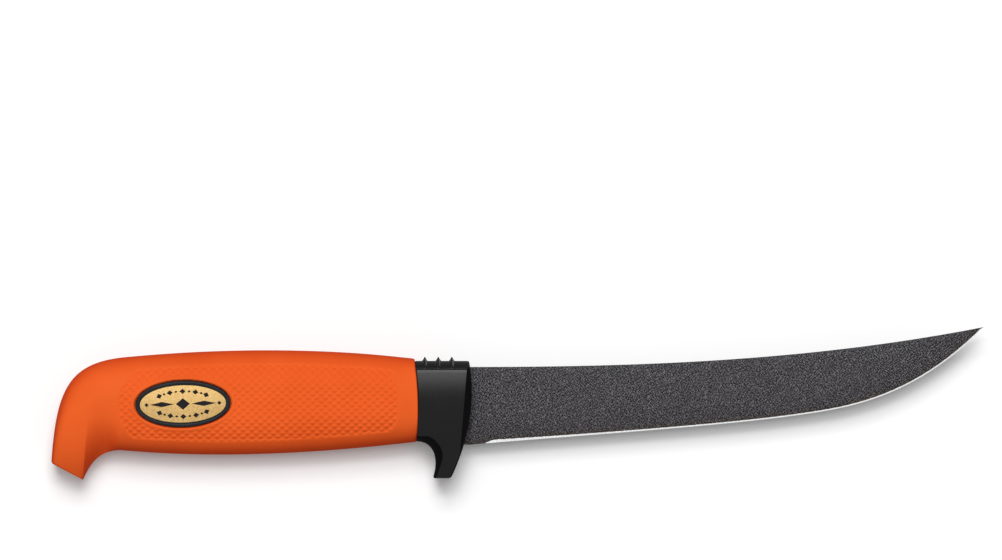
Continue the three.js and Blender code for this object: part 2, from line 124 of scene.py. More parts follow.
STEEL_LINES = (5200.0, 300.0, 300.0)
STEEL_SHADES = ((0.3, (214, 215, 217)), (0.7, (250, 250, 250)))
STEEL_GLOSS = (0.22, 0.42)
STEEL_GRAIN = 0.01
BLADE_RELIEF = 0.25

blade_low, blade_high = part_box("blade")
datum = np.array([
    blade_high.x - BLADE_LENGTH * MM,
    blade_high.y - TIP_HEIGHT * MM,
    (blade_low.z + blade_high.z) / 2,
])


def lerp(start, end, share):
    return start + (end - start) * share


def ease(value, start, end):
    """Climbs smoothly from 0 at start to 1 at end."""
    share = np.clip((value - start) / (end - start), 0.0, 1.0)
    return share * share * (3.0 - 2.0 * share)


def drawn(*pulls):
    """A Bezier curve from the first point to the last, as a fine line of points."""
    share = np.linspace(0.0, 1.0, CURVE_POINTS)[:, None]
    line = [np.ones_like(share) * np.asarray(pull, float) for pull in pulls]
    while len(line) > 1:
        line = [lerp(a, b, share) for a, b in zip(line, line[1:])]
    return line[0]


def along(line, shares):
    """Points at the given shares of a line's length."""
    steps = np.linalg.norm(np.diff(line, axis=0), axis=1)
    passed = np.concatenate([[0.0], np.cumsum(steps)])
    return np.stack([np.interp(shares * passed[-1], passed, axis) for axis in line.T], axis=-1)


def away(points, line):
    """Distance of each point from a line of points."""
    nearest = np.full(points.shape[:-1], np.inf)
    stops = np.concatenate([line[:-1:LINE_STEP], line[-1:]])
    for start, end in zip(stops, stops[1:]):
        run = end - start
        share = np.clip((points - start) @ run / (run @ run), 0.0, 1.0)
        gap = points - start - share[..., None] * run
        nearest = np.minimum(nearest, np.hypot(gap[..., 0], gap[..., 1]))
    return nearest


def skin(rings, first=None, last=None):
    """Points and faces of a skin over rings of points. An end closes on the point given for it."""
    count, around = rings.shape[:2]
    points = [rings.reshape(-1, 3)]
    ring = np.arange(around)
    following = np.roll(ring, -1)
    base = np.arange(count - 1)[:, None] * around
    corners = [base + ring, base + following, base + following + around, base + ring + around]
    faces = np.stack(corners, axis=-1).reshape(-1, 4).tolist()
    spare = count * around
    if first is not None:
        points.append([first])
        faces += [(spare, int(b), int(a)) for a, b in zip(ring, following)]
        spare += 1
    if last is not None:
        points.append([last])
        base = (count - 1) * around
        faces += [(spare, int(base + a), int(base + b)) for a, b in zip(ring, following)]
    return np.concatenate(points), faces


def solid(name, points, faces, finishes=None):
    """A closed mesh in the frame, from points of the drawing and the number of each face's finish."""
    mesh = bpy.data.meshes.new(name)
    mesh.from_pydata((np.asarray(points) * MM + datum).tolist(), [], faces)
    if finishes is not None:
        mesh.polygons.foreach_set("material_index", finishes)
    shape = bmesh.new()
    shape.from_mesh(mesh)
    bmesh.ops.remove_doubles(shape, verts=shape.verts, dist=WELD * MM)
    bmesh.ops.recalc_face_normals(shape, faces=shape.faces)
    shape.to_mesh(mesh)
    shape.free()
    piece = bpy.data.objects.new(name, mesh)
    bpy.context.scene.collection.objects.link(piece)
    return piece


def carve(piece, tool, how="DIFFERENCE"):
    """Cuts a piece with a tool, which is used up."""
    cutting = piece.modifiers.new("carve", "BOOLEAN")
    cutting.operation = how
    cutting.solver = "MANIFOLD"
    cutting.object = tool
    before = piece.data
    graph = bpy.context.evaluated_depsgraph_get()
    piece.data = bpy.data.meshes.new_from_object(piece.evaluated_get(graph))
    piece.modifiers.clear()
    bpy.data.meshes.remove(before)
    piece.data.name = piece.name
    bpy.data.objects.remove(tool)


def dress(piece, angle, *finishes):
    """Gives a piece its finishes. It is shaded smooth but for edges over an angle or between finishes."""
    mesh = piece.data
    for number, material in enumerate(finishes):
        if number < len(mesh.materials):
            mesh.materials[number] = material
        else:
            mesh.materials.append(material)
    mesh.polygons.foreach_set("use_smooth", np.ones(len(mesh.polygons), bool))
    mesh.set_sharp_from_angle(angle=math.radians(angle))
    shape = bmesh.new()
    shape.from_mesh(mesh)
    for edge in shape.edges:
        if len({face.material_index for face in edge.link_faces}) > 1:
            edge.smooth = False
    shape.to_mesh(mesh)
    shape.free()


def peg(name, radius, half, x, y):
    """A round bar across the knife."""
    turn = np.linspace(0.0, 2.0 * math.pi, PEG_POINTS, endpoint=False)
    ring = np.stack([x + radius * np.cos(turn), y + radius * np.sin(turn)], axis=-1)
    rings = np.stack([np.insert(ring, 2, z, axis=1) for z in (-half, half)])
    return solid(name, *skin(rings, (x, y, -half), (x, y, half)))


spine_line = drawn(
    (0.0, SPINE_HEIGHT),
    (BLADE_LENGTH / 3.0, SPINE_HEIGHT),
    (BLADE_LENGTH * 2.0 / 3.0, TIP_HEIGHT - SPINE_SWEEP),
    (BLADE_LENGTH, TIP_HEIGHT),
)
long_edge = drawn(
    (0.0, -HEEL_DEPTH),
    (BELLY_START / 4.0, lerp(-HEEL_DEPTH, -BELLY_DEPTH, 0.25)),
    (BELLY_START * 3.0 / 4.0, lerp(-HEEL_DEPTH, -BELLY_DEPTH, 0.75) - EDGE_BOW),
    (BELLY_START, -BELLY_DEPTH),
)
edge_slope = (long_edge[-1] - long_edge[-2]) / np.linalg.norm(long_edge[-1] - long_edge[-2])
belly_edge = drawn(
    long_edge[-1],
    long_edge[-1] + edge_slope * BELLY_LEAD,
    spine_line[-1] - TIP_PULL * np.array([math.cos(TIP_ANGLE), math.sin(TIP_ANGLE)]),
    spine_line[-1],
)
blade_shares = np.linspace(0.0, LAST_STATION, BLADE_STATIONS)
spine = along(spine_line, blade_shares)
edge = along(np.concatenate([long_edge, belly_edge[1:]]), blade_shares)
height = np.linalg.norm(edge - spine, axis=1)
down = (edge - spine) / height[:, None]

# The bevel narrows towards the tip, and its border wanders a little, as a hand-held grinding does.
edge_x = edge[:, 0]
wander = 1.0
for size, pace, start in BEVEL_WANDER:
    wander = wander + size * np.sin(pace * edge_x + start)
bevel = lerp(TIP_BEVEL, HEEL_BEVEL, np.exp(-np.maximum(edge_x - HEEL_LENGTH, 0.0) / BEVEL_NARROWING)) * wander
bevel = lerp(HEEL_ROUND, bevel, ease(edge_x, HEEL_LENGTH, HEEL_LENGTH + BEVEL_RUN_IN))
bevel = np.minimum(bevel, height / 2.0)
grind_slope = (SPINE_THICKNESS - BEHIND_EDGE) / 2.0 / (SPINE_HEIGHT + HEEL_DEPTH - BEVEL_WIDTH)
half_spine = BEHIND_EDGE / 2.0 + grind_slope * (height - bevel)
spine_round = np.minimum(SPINE_ROUND, np.minimum(height / 4.0, half_spine * ROUND_LIMIT))

# Each section is given by depths below the spine and the half thickness there, from spine to edge.
roll = np.linspace(0.0, math.pi / 2.0, ROLL_POINTS)[:, None]
roll_depths = spine_round * (1.0 - np.cos(roll))
roll_halves = half_spine - spine_round * (1.0 - np.sin(roll)) - grind_slope * roll_depths
flank_shares = np.array(FLANK_ROWS)[:, None]
band_share = np.minimum(1.0, (height - bevel) / (BANDS_PER_HEIGHT * BROWN_BAND[0]))
band_depths = height - bevel - np.array(BROWN_BAND)[:, None] * band_share
flank_depths = np.concatenate([lerp(spine_round, height - bevel, flank_shares), band_depths])
flank_halves = half_spine - grind_slope * flank_depths
none = np.zeros((1, BLADE_STATIONS))
depths = np.concatenate([none, roll_depths, flank_depths, height[None, :]]).T
halves = np.concatenate([none, roll_halves, flank_halves, none]).T


def both_flanks(spine, down, depths, halves):
    """Rings round a flat bar, from its sections on one flank."""
    plan = spine[:, None, :] + down[:, None, :] * depths[:, :, None]
    near = np.concatenate([plan, halves[:, :, None]], axis=-1)
    far = near[:, -2:0:-1] * (1.0, 1.0, -1.0)
    return np.concatenate([near, far], axis=1)


bevel_column = depths.shape[1] - 2
tang_spine = np.array([[-TANG_LENGTH, TANG_END_HEIGHT / 2.0], [-SHOULDER_DEPTH, TANG_HEIGHT / 2.0]])
tang_height = np.array([[TANG_END_HEIGHT], [TANG_HEIGHT]])
tang_rows = np.linspace(TANG_FIRST_ROW, 1.0, len(flank_depths))
tang_shares = np.concatenate([np.zeros(ROLL_POINTS + 1), tang_rows, [1.0]])
tang_halves = np.full((2, bevel_column + 2), SPINE_THICKNESS / 2.0)
tang_halves[:, [0, -1]] = 0.0
tang_rings = both_flanks(tang_spine, np.array([[0.0, -1.0]] * 2), tang_height * tang_shares, tang_halves)
blade_rings = both_flanks(spine, down, depths, halves)
root_ring = blade_rings[:1] - (SHOULDER_DEPTH, 0.0, 0.0)
blade_points, blade_faces = skin(
    np.concatenate([tang_rings, root_ring, blade_rings]),
    (-TANG_LENGTH, 0.0, 0.0),
    (BLADE_LENGTH, TIP_HEIGHT, 0.0),
)
around = blade_rings.shape[1]
face_station, face_column = np.divmod(np.arange(len(blade_faces)), around)
# The last two rows of faces close the ends: the tang's, inside the handle, is marked, and the tip's isn't.
behind = np.full(len(tang_rings) + 1, -1.0)
station_x = np.concatenate([behind, edge_x, [0.0]])
ahead = station_x[face_station]
sharpened = np.isin(face_column, (bevel_column, bevel_column + 1)) & (ahead > HEEL_LENGTH)
blade = solid("blade_coated", blade_points, blade_faces, sharpened.astype(int))
for hole in range(2):
    hole_x = -TANG_LENGTH + TANG_HOLE_INSET + hole * TANG_HOLE_PITCH
    carve(blade, peg("tang_hole", TANG_HOLE / 2.0, SPINE_THICKNESS * 2.0, hole_x, 0.0))


def tone(red, green, blue):
    """A colour as a screen shows it, 0 to 255, turned into the light that it stands for."""
    shares = np.array([red, green, blue]) / 255.0
    light = np.where(shares <= 0.04045, shares / 12.92, ((shares + 0.055) / 1.055) ** 2.4)
    return tuple(float(value) for value in light)


def toned(stops):
    """Stops of a ramp, from positions and colours as a screen shows them."""
    return [(position, tone(*colour)) for position, colour in stops]


def finish(name, roughness, metallic=0.0, specular=0.5):
    """A new material with its plain values set, its nodes and its shader."""
    material = bpy.data.materials.new(name)
    material.use_nodes = True
    shader = material.node_tree.nodes["Principled BSDF"]
    shader.inputs["Roughness"].default_value = roughness
    shader.inputs["Metallic"].default_value = metallic
    shader.inputs["Specular IOR Level"].default_value = specular
    return material, material.node_tree, shader


def add(tree, kind, **values):
    """A new node with values on its inputs."""
    node = tree.nodes.new(kind)
    for label, value in values.items():
        node.inputs[label.replace("_", " ")].default_value = value
    return node


def ramp(tree, source, *stops):
    """Colours that follow a value, from stops of position and colour."""
    node = tree.nodes.new("ShaderNodeValToRGB")
    elements = node.color_ramp.elements
    while len(elements) < len(stops):
        elements.new(0.5)
    for element, (position, colour) in zip(elements, stops):
        element.position = position
        element.color = (*colour, 1.0)
    tree.links.new(source, node.inputs["Fac"])
    return node.outputs["Color"]


def blend(tree, how, under, over):
    """One colour laid over another."""
    node = tree.nodes.new("ShaderNodeMix")
    node.data_type = "RGBA"
    node.blend_type = how
    node.inputs[0].default_value = 1.0
    tree.links.new(under, node.inputs[6])
    tree.links.new(over, node.inputs[7])
    return node.outputs[2]


def spread(tree, source, low, high):
    """A value between 0 and 1 stretched to another range."""
    node = tree.nodes.new("ShaderNodeMapRange")
    node.inputs["To Min"].default_value = low
    node.inputs["To Max"].default_value = high
    tree.links.new(source, node.inputs["Value"])
    return node.outputs["Result"]


def relief(tree, source, shader, depth, strength):
    """A fine relief of the given depth in millimetres on the surface."""
    bump = add(tree, "ShaderNodeBump", Strength=strength, Distance=depth * MM)
    tree.links.new(source, bump.inputs["Height"])
    tree.links.new(bump.outputs["Normal"], shader.inputs["Normal"])


# Coating: a baked dark grey film of fine flakes. Each flake is set off against its neighbours, larger ones
# glint, and beside the ground edge the film is darker and browner.
coating, tree, shader = finish("blade_coating", COATING_GLOSS[0], specular=COATING_SPECULAR)
place = add(tree, "ShaderNodeTexCoord")
flakes = add(tree, "ShaderNodeTexVoronoi", Scale=FLAKE_SCALE)
tree.links.new(place.outputs["Object"], flakes.inputs["Vector"])
contrast = flakes.outputs["Color"]
for step in ((FLAKE_STEP, 0.0), (-FLAKE_STEP, 0.0), (0.0, FLAKE_STEP), (0.0, -FLAKE_STEP)):
    shift = add(tree, "ShaderNodeMapping", Location=(step[0] * MM, step[1] * MM, 0.0))
    beside = add(tree, "ShaderNodeTexVoronoi", Scale=FLAKE_SCALE)
    less = tree.nodes.new("ShaderNodeVectorMath")
    less.operation = "MULTIPLY_ADD"
    less.inputs[1].default_value = (-FLAKE_CONTRAST,) * 3
    tree.links.new(place.outputs["Object"], shift.inputs["Vector"])
    tree.links.new(shift.outputs["Vector"], beside.inputs["Vector"])
    tree.links.new(beside.outputs["Color"], less.inputs[0])
    tree.links.new(contrast, less.inputs[2])
    contrast = less.outputs["Vector"]
centred = add(tree, "ShaderNodeMapRange", From_Min=-2.0 * FLAKE_CONTRAST, From_Max=1.0 - 2.0 * FLAKE_CONTRAST)
tree.links.new(contrast, centred.inputs["Value"])
speckle = ramp(tree, centred.outputs["Result"], *toned(FLAKE_SHADES))
sparks = add(tree, "ShaderNodeTexVoronoi", Scale=SPARK_SCALE)
tree.links.new(place.outputs["Object"], sparks.inputs["Vector"])
glints = ramp(tree, sparks.outputs["Color"], *toned(SPARK_SHADES))
film = blend(tree, "ADD", speckle, glints)
edge_gap = tree.nodes.new("ShaderNodeAttribute")
edge_gap.attribute_name = "edge_gap"
edge_darkening = ramp(tree, edge_gap.outputs["Fac"], *BROWNING)
tree.links.new(blend(tree, "MULTIPLY", film, edge_darkening), shader.inputs["Base Color"])
tree.links.new(spread(tree, flakes.outputs["Distance"], *COATING_GLOSS), shader.inputs["Roughness"])
relief(tree, flakes.outputs["Distance"], shader, COATING_GRAIN, BLADE_RELIEF)

# Bare steel: fine grinding lines run across the bevel.
ground_steel, tree, shader = finish("ground_steel", STEEL_GLOSS[0], metallic=1.0)
place = add(tree, "ShaderNodeTexCoord")
stretch = add(tree, "ShaderNodeMapping", Scale=STEEL_LINES)
lines = add(tree, "ShaderNodeTexNoise", Scale=1.0, Detail=2.0, Roughness=0.5)
tree.links.new(place.outputs["Object"], stretch.inputs["Vector"])
tree.links.new(stretch.outputs["Vector"], lines.inputs["Vector"])
steel_shade = ramp(tree, lines.outputs["Fac"], *toned(STEEL_SHADES))
tree.links.new(steel_shade, shader.inputs["Base Color"])
tree.links.new(spread(tree, lines.outputs["Fac"], *STEEL_GLOSS), shader.inputs["Roughness"])
relief(tree, lines.outputs["Fac"], shader, STEEL_GRAIN, BLADE_RELIEF)

dress(blade, BLADE_CREASE, coating, ground_steel)
spots = np.empty(len(blade.data.vertices) * 3)
blade.data.vertices.foreach_get("co", spots)
spots = (spots.reshape(-1, 3) - datum)[:, :2] / MM
gap_values = blade.data.attributes.new("edge_gap", "FLOAT", "POINT")
gap_values.data.foreach_set("value", away(spots, spine + down * (height - bevel)[:, None]) / DARKENING_SPAN)
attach(blade, "root")
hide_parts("blade")

# Guard
# A black hard plastic moulding pushed over the tang, with three thumb ridges on its arched top, a tail that
# keeps the finger off the edge and a slot for the blade's shoulder. The mould leaves its flanks polished, its
# top and edges matt and its inner faces satin. The matt top and edges are made darker as painted shade, and a
# pale strip along one side of each ridge is a painted highlight.
GUARD_LENGTH = 17.1
GUARD_TOP = 12.9
GUARD_THICKNESS = 20.8
GUARD_TOP_THICKNESS = 18.0
HOLLOW_THICKNESS = 19.8
TOP_CORNER = 0.2
CROWN_DROP = 2.35
CORNER_SOFTENING = 7
ARCH_TURN = (0.45, 0.75)
MATT_SHADE_TURN = 0.8
TAIL_DEPTH = 25.8
TAIL_THICKNESS = 13.0
TAIL_BACKSET = 6.3
TAIL_WIDTH = 6.0
HOLLOW_DEPTH = 13.6
HOLLOW_REACH = 7.2
HOLLOW_LEVEL = 4.7
HOLLOW_TURN = 0.6
TAIL_EDGE = 0.6
FRONT_BULGE = 2.85
EDGE_RADIUS = 2.0
EDGE_SLOPE = 0.4
STRIP_TOP = 0.95
STRIP_FOOT = 3.0
TAIL_STRIP = 0.4
HOLLOW_STRIP = 2.8
HOLLOW_STRIP_FOOT = 1.0
HOLLOW_STRIP_RUN = 0.75
HOLLOW_STRIP_REAR = 0.7
TAIL_CORNER = 0.9
JOINT_EDGE = 0.35
JOINT_GAP = 0.05
TOP_EDGE = 0.6
RIDGE_COUNT = 3
RIDGE_PITCH = 4.45
RIDGE_FIRST = 6.0
RIDGE_HEIGHT = 1.3
RIDGE_BASE = 2.0
RIDGE_TOP = 0.3
RIDGE_HOLLOW = 1.4
RIDGE_TURN = (0.76, 0.85)
HIGHLIGHT_FROM = 0.2
HIGHLIGHT_TO = 0.72
JOINT_RADIUS = 120.0
JOINT_HEIGHT = -3.3
TAIL_ROWS = 70
TAIL_CROWDING = 1.4
GUARD_ROW = 0.25
GUARD_COLUMNS = 190
COLUMN_CROWDING = 0.6
INNER_ROWS = (0.0, 0.35, 0.7)
STRETCH_POINTS = 200
FLANK_POINTS = 600
GUARD_CREASE = 40.0
POLISHED = 0
MATT_AND_SHADE = 1
SATIN = 2
PAINTED_HIGHLIGHT = 3
GUARD_GRAIN = 2600.0
GUARD_CLOUD = 140.0
GRAIN_DETAIL = 3.0
GRAIN_ROUGHNESS = 0.55
GRAIN_RELIEF = 0.4
CLOUD_RANGE = (0.3, 0.7)

joint_x = -GUARD_LENGTH


def joint_at(y, grow):
    """X of the wide upright curve where guard and grip meet."""
    return joint_x - JOINT_RADIUS + np.sqrt((JOINT_RADIUS + grow) ** 2 - (y - JOINT_HEIGHT) ** 2)


def rounded(distance, radius):
    """How far a rounded edge draws the surface in, at a distance from that edge."""
    inside = radius - np.clip(distance, 0.0, radius)
    return radius - np.sqrt(radius ** 2 - inside ** 2)


def sloped(distance, radius):
    """The same for an edge that starts with a crisp line and a slope before it rounds."""
    return lerp(rounded(distance, radius), np.clip(radius - distance, 0.0, radius), EDGE_SLOPE)


def smooth_through(stops):
    """A smooth line through points, with a steady pull at each."""
    share = np.linspace(0.0, 1.0, STRETCH_POINTS)[:, None]
    ends = np.concatenate([stops[:1], stops, stops[-1:]])
    line = []
    for a, b, c, d in zip(ends, ends[1:], ends[2:], ends[3:]):
        start_pull = (c - a) / 2.0
        end_pull = (d - b) / 2.0
        line.append(
            (2.0 * b - 2.0 * c + start_pull + end_pull) * share ** 3
            + (3.0 * c - 3.0 * b - 2.0 * start_pull - end_pull) * share ** 2
            + start_pull * share
            + b
        )
    return np.concatenate(line)


front_line = drawn(
    (-TAIL_BACKSET, -TAIL_DEPTH),
    (FRONT_BULGE, -HOLLOW_DEPTH / 2.0),
    (-TOP_CORNER, GUARD_TOP),
)
hollow_line = drawn(
    (-TAIL_BACKSET - TAIL_WIDTH, -TAIL_DEPTH),
    (joint_x + HOLLOW_REACH, lerp(-TAIL_DEPTH, -HOLLOW_DEPTH, HOLLOW_TURN)),
    (joint_x + HOLLOW_LEVEL, -HOLLOW_DEPTH),
    (float(joint_at(-HOLLOW_DEPTH, JOINT_GAP)), -HOLLOW_DEPTH),
)
flank_line = smooth_through(np.array([
    [TAIL_THICKNESS / 2.0, -TAIL_DEPTH],
    [HOLLOW_THICKNESS / 2.0, -HOLLOW_DEPTH],
    [GUARD_THICKNESS / 2.0, 0.0],
    [GUARD_TOP_THICKNESS / 2.0, GUARD_TOP],
]))

# One profile runs up the flank and over the arched top to the crown, with the corner between them softened.
arch_radius = ((GUARD_TOP_THICKNESS / 2.0) ** 2 + CROWN_DROP ** 2) / (2.0 * CROWN_DROP)
arch_centre = GUARD_TOP - arch_radius
flank_y = np.linspace(-HOLLOW_DEPTH, GUARD_TOP, FLANK_POINTS)
flank_w = np.interp(flank_y, flank_line[:, 1], flank_line[:, 0])
under_arch = np.hypot(flank_w, flank_y - arch_centre) < arch_radius
corner_turn = math.asin(flank_w[under_arch][-1] / arch_radius)
arch_turn = np.linspace(corner_turn, 0.0, STRETCH_POINTS)
arch_w = np.sin(arch_turn) * arch_radius
arch_y = arch_centre + np.cos(arch_turn) * arch_radius
arch_line = np.stack([arch_w, arch_y], axis=-1)
profile = np.concatenate([np.stack([flank_w, flank_y], axis=-1)[under_arch], arch_line])
profile_length = np.linalg.norm(np.diff(profile, axis=0), axis=1).sum()
profile = along(profile, np.linspace(0.0, 1.0, round(profile_length / GUARD_ROW)))
for softening in range(CORNER_SOFTENING):
    profile[1:-1] = (profile[:-2] + 2.0 * profile[1:-1] + profile[2:]) / 4.0
profile[-1] = (0.0, GUARD_TOP)
lower = along(hollow_line, np.linspace(0.0, 1.0, TAIL_ROWS, endpoint=False) ** TAIL_CROWDING)
lower_w = np.interp(lower[:, 1], flank_line[:, 1], flank_line[:, 0])
row_w = np.concatenate([lower_w, profile[:, 0]])[:, None]
row_y = np.concatenate([lower[:, 1], profile[:, 1]])[:, None]
rear_x = np.concatenate([lower[:, 0], joint_at(profile[:, 1], JOINT_GAP)])[:, None]
front_x = np.interp(row_y, front_line[:, 1], front_line[:, 0])
row_turn = np.gradient(np.concatenate([row_w, row_y], axis=1), axis=0)
row_turn[:TAIL_ROWS + 1] = (0.0, 1.0)
row_turn = row_turn / np.linalg.norm(row_turn, axis=1)[:, None]
out_w = row_turn[:, 1:]
out_y = -row_turn[:, :1]
on_arch = ease(out_y, *ARCH_TURN)
corner_row = int(np.argmax(on_arch[TAIL_ROWS:, 0] > 0.5))
tail_in = rounded(row_y + TAIL_DEPTH, TAIL_CORNER)

column = np.linspace(0.0, 1.0, GUARD_COLUMNS)
column = column - COLUMN_CROWDING * np.sin(2.0 * math.pi * column) / (2.0 * math.pi)
guard_x = lerp(rear_x + tail_in, front_x - tail_in, column)
guard_y = row_y + np.zeros_like(guard_x)
plan = np.stack([guard_x, guard_y], axis=-1)
front_edge = front_x - guard_x
hollow_edge = away(plan, hollow_line)
flank_top = profile[corner_row, 1]
strip_line = lerp(-STRIP_TOP, -STRIP_FOOT, (flank_top - row_y) / (flank_top + HOLLOW_DEPTH))
front_strip = np.maximum(front_x - strip_line, TAIL_STRIP)
strip_full = lerp(-TAIL_DEPTH, -HOLLOW_DEPTH, HOLLOW_STRIP_RUN)
hollow_strip = lerp(HOLLOW_STRIP_FOOT, HOLLOW_STRIP, ease(guard_y, -TAIL_DEPTH, strip_full))
fullness = ease(guard_x, joint_x, joint_x + HOLLOW_LEVEL)
hollow_strip = lerp(hollow_strip * HOLLOW_STRIP_REAR, hollow_strip, fullness)
drawn_in = np.where(on_arch > 0.5, rounded(front_edge, TOP_EDGE), sloped(front_edge, front_strip))
drawn_in = np.maximum(drawn_in, sloped(hollow_edge / hollow_strip * EDGE_RADIUS, EDGE_RADIUS))
# Painted shade: the matt faces along the top, the front edge and the hollow's edge are also darker, for the
# shade there.
matt_and_shade = (out_y > MATT_SHADE_TURN) | (front_edge < front_strip) | (hollow_edge < hollow_strip)
drawn_in = np.maximum(drawn_in, rounded(guard_x - joint_at(guard_y, JOINT_GAP), JOINT_EDGE))
drawn_in = np.maximum(drawn_in, rounded(guard_y + TAIL_DEPTH, TAIL_EDGE))
raised = np.zeros_like(guard_x)
ridge_highlight = np.zeros_like(matt_and_shade)
# Ridges rise over the top. A narrow strip along one side of each gets a painted highlight.
for ridge in range(RIDGE_COUNT):
    beside = guard_x + RIDGE_FIRST + ridge * RIDGE_PITCH
    slope = np.clip((np.abs(beside) - RIDGE_TOP / 2.0) / (RIDGE_BASE - RIDGE_TOP) * 2.0, 0.0, 1.0)
    raised = np.maximum(raised, (1.0 - slope) ** RIDGE_HOLLOW)
    ridge_highlight |= (beside > HIGHLIGHT_FROM) & (beside < HIGHLIGHT_TO) & (out_y > MATT_SHADE_TURN)
lift = raised * RIDGE_HEIGHT * ease(out_y, *RIDGE_TURN) - drawn_in
guard_y = guard_y + out_y * lift
guard_z = np.maximum(row_w + out_w * lift, 0.0)
guard_z[-1] = 0.0
flank = np.stack([guard_x, guard_y, guard_z], axis=-1)
inwards = [flank[:, :1] * (1.0, 1.0, share) for share in INNER_ROWS]
outwards = [flank[:, -1:] * (1.0, 1.0, share) for share in INNER_ROWS[::-1]]
near = np.concatenate([*inwards, flank, *outwards], axis=1)
far = near[:, -2:0:-1] * (1.0, 1.0, -1.0)
tail_end = (-TAIL_BACKSET - TAIL_WIDTH / 2.0, -TAIL_DEPTH, 0.0)


def on_faces(marked, on_ends):
    """Whether all corners of each face are marked, from the marks on one flank."""
    inner = len(INNER_ROWS)
    near_marks = np.pad(marked, ((0, 0), (inner, inner)), constant_values=on_ends)
    marks = np.concatenate([near_marks, near_marks[:, -2:0:-1]], axis=1)
    marks = marks & np.roll(marks, -1, axis=1)
    return (marks[1:] & marks[:-1]).ravel()


guard_points, guard_faces = skin(np.concatenate([near, far], axis=1), first=tail_end)
face_finish = np.where(on_faces(matt_and_shade, False), MATT_AND_SHADE, POLISHED)
face_finish[on_faces(matt_and_shade, True) & (face_finish == POLISHED)] = SATIN
face_finish[on_faces(ridge_highlight, False)] = PAINTED_HIGHLIGHT
face_finish = np.pad(face_finish, (0, len(guard_faces) - len(face_finish)), constant_values=SATIN)
guard = solid("guard_moulding", guard_points, guard_faces, face_finish)


def bar(name, sections):
    """A bar along the knife, from sections of X, lowest Y, highest Y and half thickness."""
    rings = np.array([
        [(x, low, -half), (x, high, -half), (x, high, half), (x, low, half)]
        for x, low, high, half in sections
    ])
    return solid(name, *skin(rings, rings[0].mean(axis=0), rings[-1].mean(axis=0)))


slot_half = SPINE_THICKNESS / 2.0 + CLEARANCE
slot_end = -SHOULDER_DEPTH - CLEARANCE
blade_room = (-HEEL_DEPTH - CLEARANCE, SPINE_HEIGHT + CLEARANCE, slot_half)
carve(guard, bar("blade_slot", [(slot_end, *blade_room), (GUARD_LENGTH, *blade_room)]))
tang_half = TANG_HEIGHT / 2.0 + CLEARANCE
tang_room = (-tang_half, tang_half, slot_half)
carve(guard, bar("tang_slot", [(joint_x * 2.0, *tang_room), (0.0, *tang_room)]))

# Moulded plastic has a fine eroded grain and a slow cloudiness in its colour. All the mouldings share it.
moulding = bpy.data.node_groups.new("moulded_surface", "ShaderNodeTree")
moulding.interface.new_socket("Grain Scale", in_out="INPUT", socket_type="NodeSocketFloat")
moulding.interface.new_socket("Cloud Scale", in_out="INPUT", socket_type="NodeSocketFloat")
moulding.interface.new_socket("Grain", in_out="OUTPUT", socket_type="NodeSocketFloat")
moulding.interface.new_socket("Cloud", in_out="OUTPUT", socket_type="NodeSocketFloat")
entry = moulding.nodes.new("NodeGroupInput")
leaving = moulding.nodes.new("NodeGroupOutput")
place = add(moulding, "ShaderNodeTexCoord")
for size, result in (("Grain Scale", "Grain"), ("Cloud Scale", "Cloud")):
    noise = add(moulding, "ShaderNodeTexNoise", Detail=GRAIN_DETAIL, Roughness=GRAIN_ROUGHNESS)
    moulding.links.new(place.outputs["Object"], noise.inputs["Vector"])
    moulding.links.new(entry.outputs[size], noise.inputs["Scale"])
    moulding.links.new(noise.outputs["Fac"], leaving.inputs[result])


def moulded(name, dark, light, gloss, specular, grain_scale, cloud_scale, depth):
    """A moulded plastic: two tones that cloud into each other, a range of roughness and a grain's depth."""
    material, tree, shader = finish(name, gloss[0], specular=specular)
    surface = tree.nodes.new("ShaderNodeGroup")
    surface.node_tree = moulding
    surface.inputs["Grain Scale"].default_value = grain_scale
    surface.inputs["Cloud Scale"].default_value = cloud_scale
    shades = ramp(tree, surface.outputs["Cloud"], *zip(CLOUD_RANGE, (dark, light)))
    tree.links.new(shades, shader.inputs["Base Color"])
    tree.links.new(spread(tree, surface.outputs["Grain"], *gloss), shader.inputs["Roughness"])
    relief(tree, surface.outputs["Grain"], shader, depth, GRAIN_RELIEF)
    return material


guard_plastic = moulded(
    "guard_plastic", tone(11, 11, 12), tone(15, 15, 16), gloss=(0.15, 0.2), specular=0.175,
    grain_scale=GUARD_GRAIN, cloud_scale=GUARD_CLOUD, depth=0.01,
)
# Painted shade: the matt finish is darker and duller than the polished one, so the top and edges look shaded.
guard_matt_and_shade = moulded(
    "guard_matt_and_shade", tone(8, 8, 9), tone(13, 13, 14), gloss=(0.5, 0.62), specular=0.03,
    grain_scale=GUARD_GRAIN, cloud_scale=GUARD_CLOUD, depth=0.02,
)
guard_satin = moulded(
    "guard_satin", tone(12, 12, 13), tone(18, 18, 19), gloss=(0.42, 0.55), specular=0.16,
    grain_scale=GUARD_GRAIN, cloud_scale=GUARD_CLOUD, depth=0.02,
)
# Painted highlight: a pale grey finish stands for the light caught along one side of each ridge.
guard_painted_highlight = moulded(
    "guard_painted_highlight", tone(62, 62, 65), tone(78, 78, 82), gloss=(0.4, 0.5), specular=0.1,
    grain_scale=GUARD_GRAIN, cloud_scale=GUARD_CLOUD, depth=0.02,
)
dress(guard, GUARD_CREASE, guard_plastic, guard_matt_and_shade, guard_satin, guard_painted_highlight)
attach(guard, "root")
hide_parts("guard")

# Core
# A plain black hard plastic bar moulded round the tang, keyed by two pegs through the tang's holes. The grip
# hides it, so the CAD solid stays and only gets its finish.
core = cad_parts["handle_core"]
core_plastic = moulded(
    "core_plastic", tone(34, 34, 36), tone(44, 44, 46), gloss=(0.5, 0.65), specular=0.4,
    grain_scale=1800.0, cloud_scale=120.0, depth=0.02,
)
core.data.materials.clear()
core.data.materials.append(core_plastic)

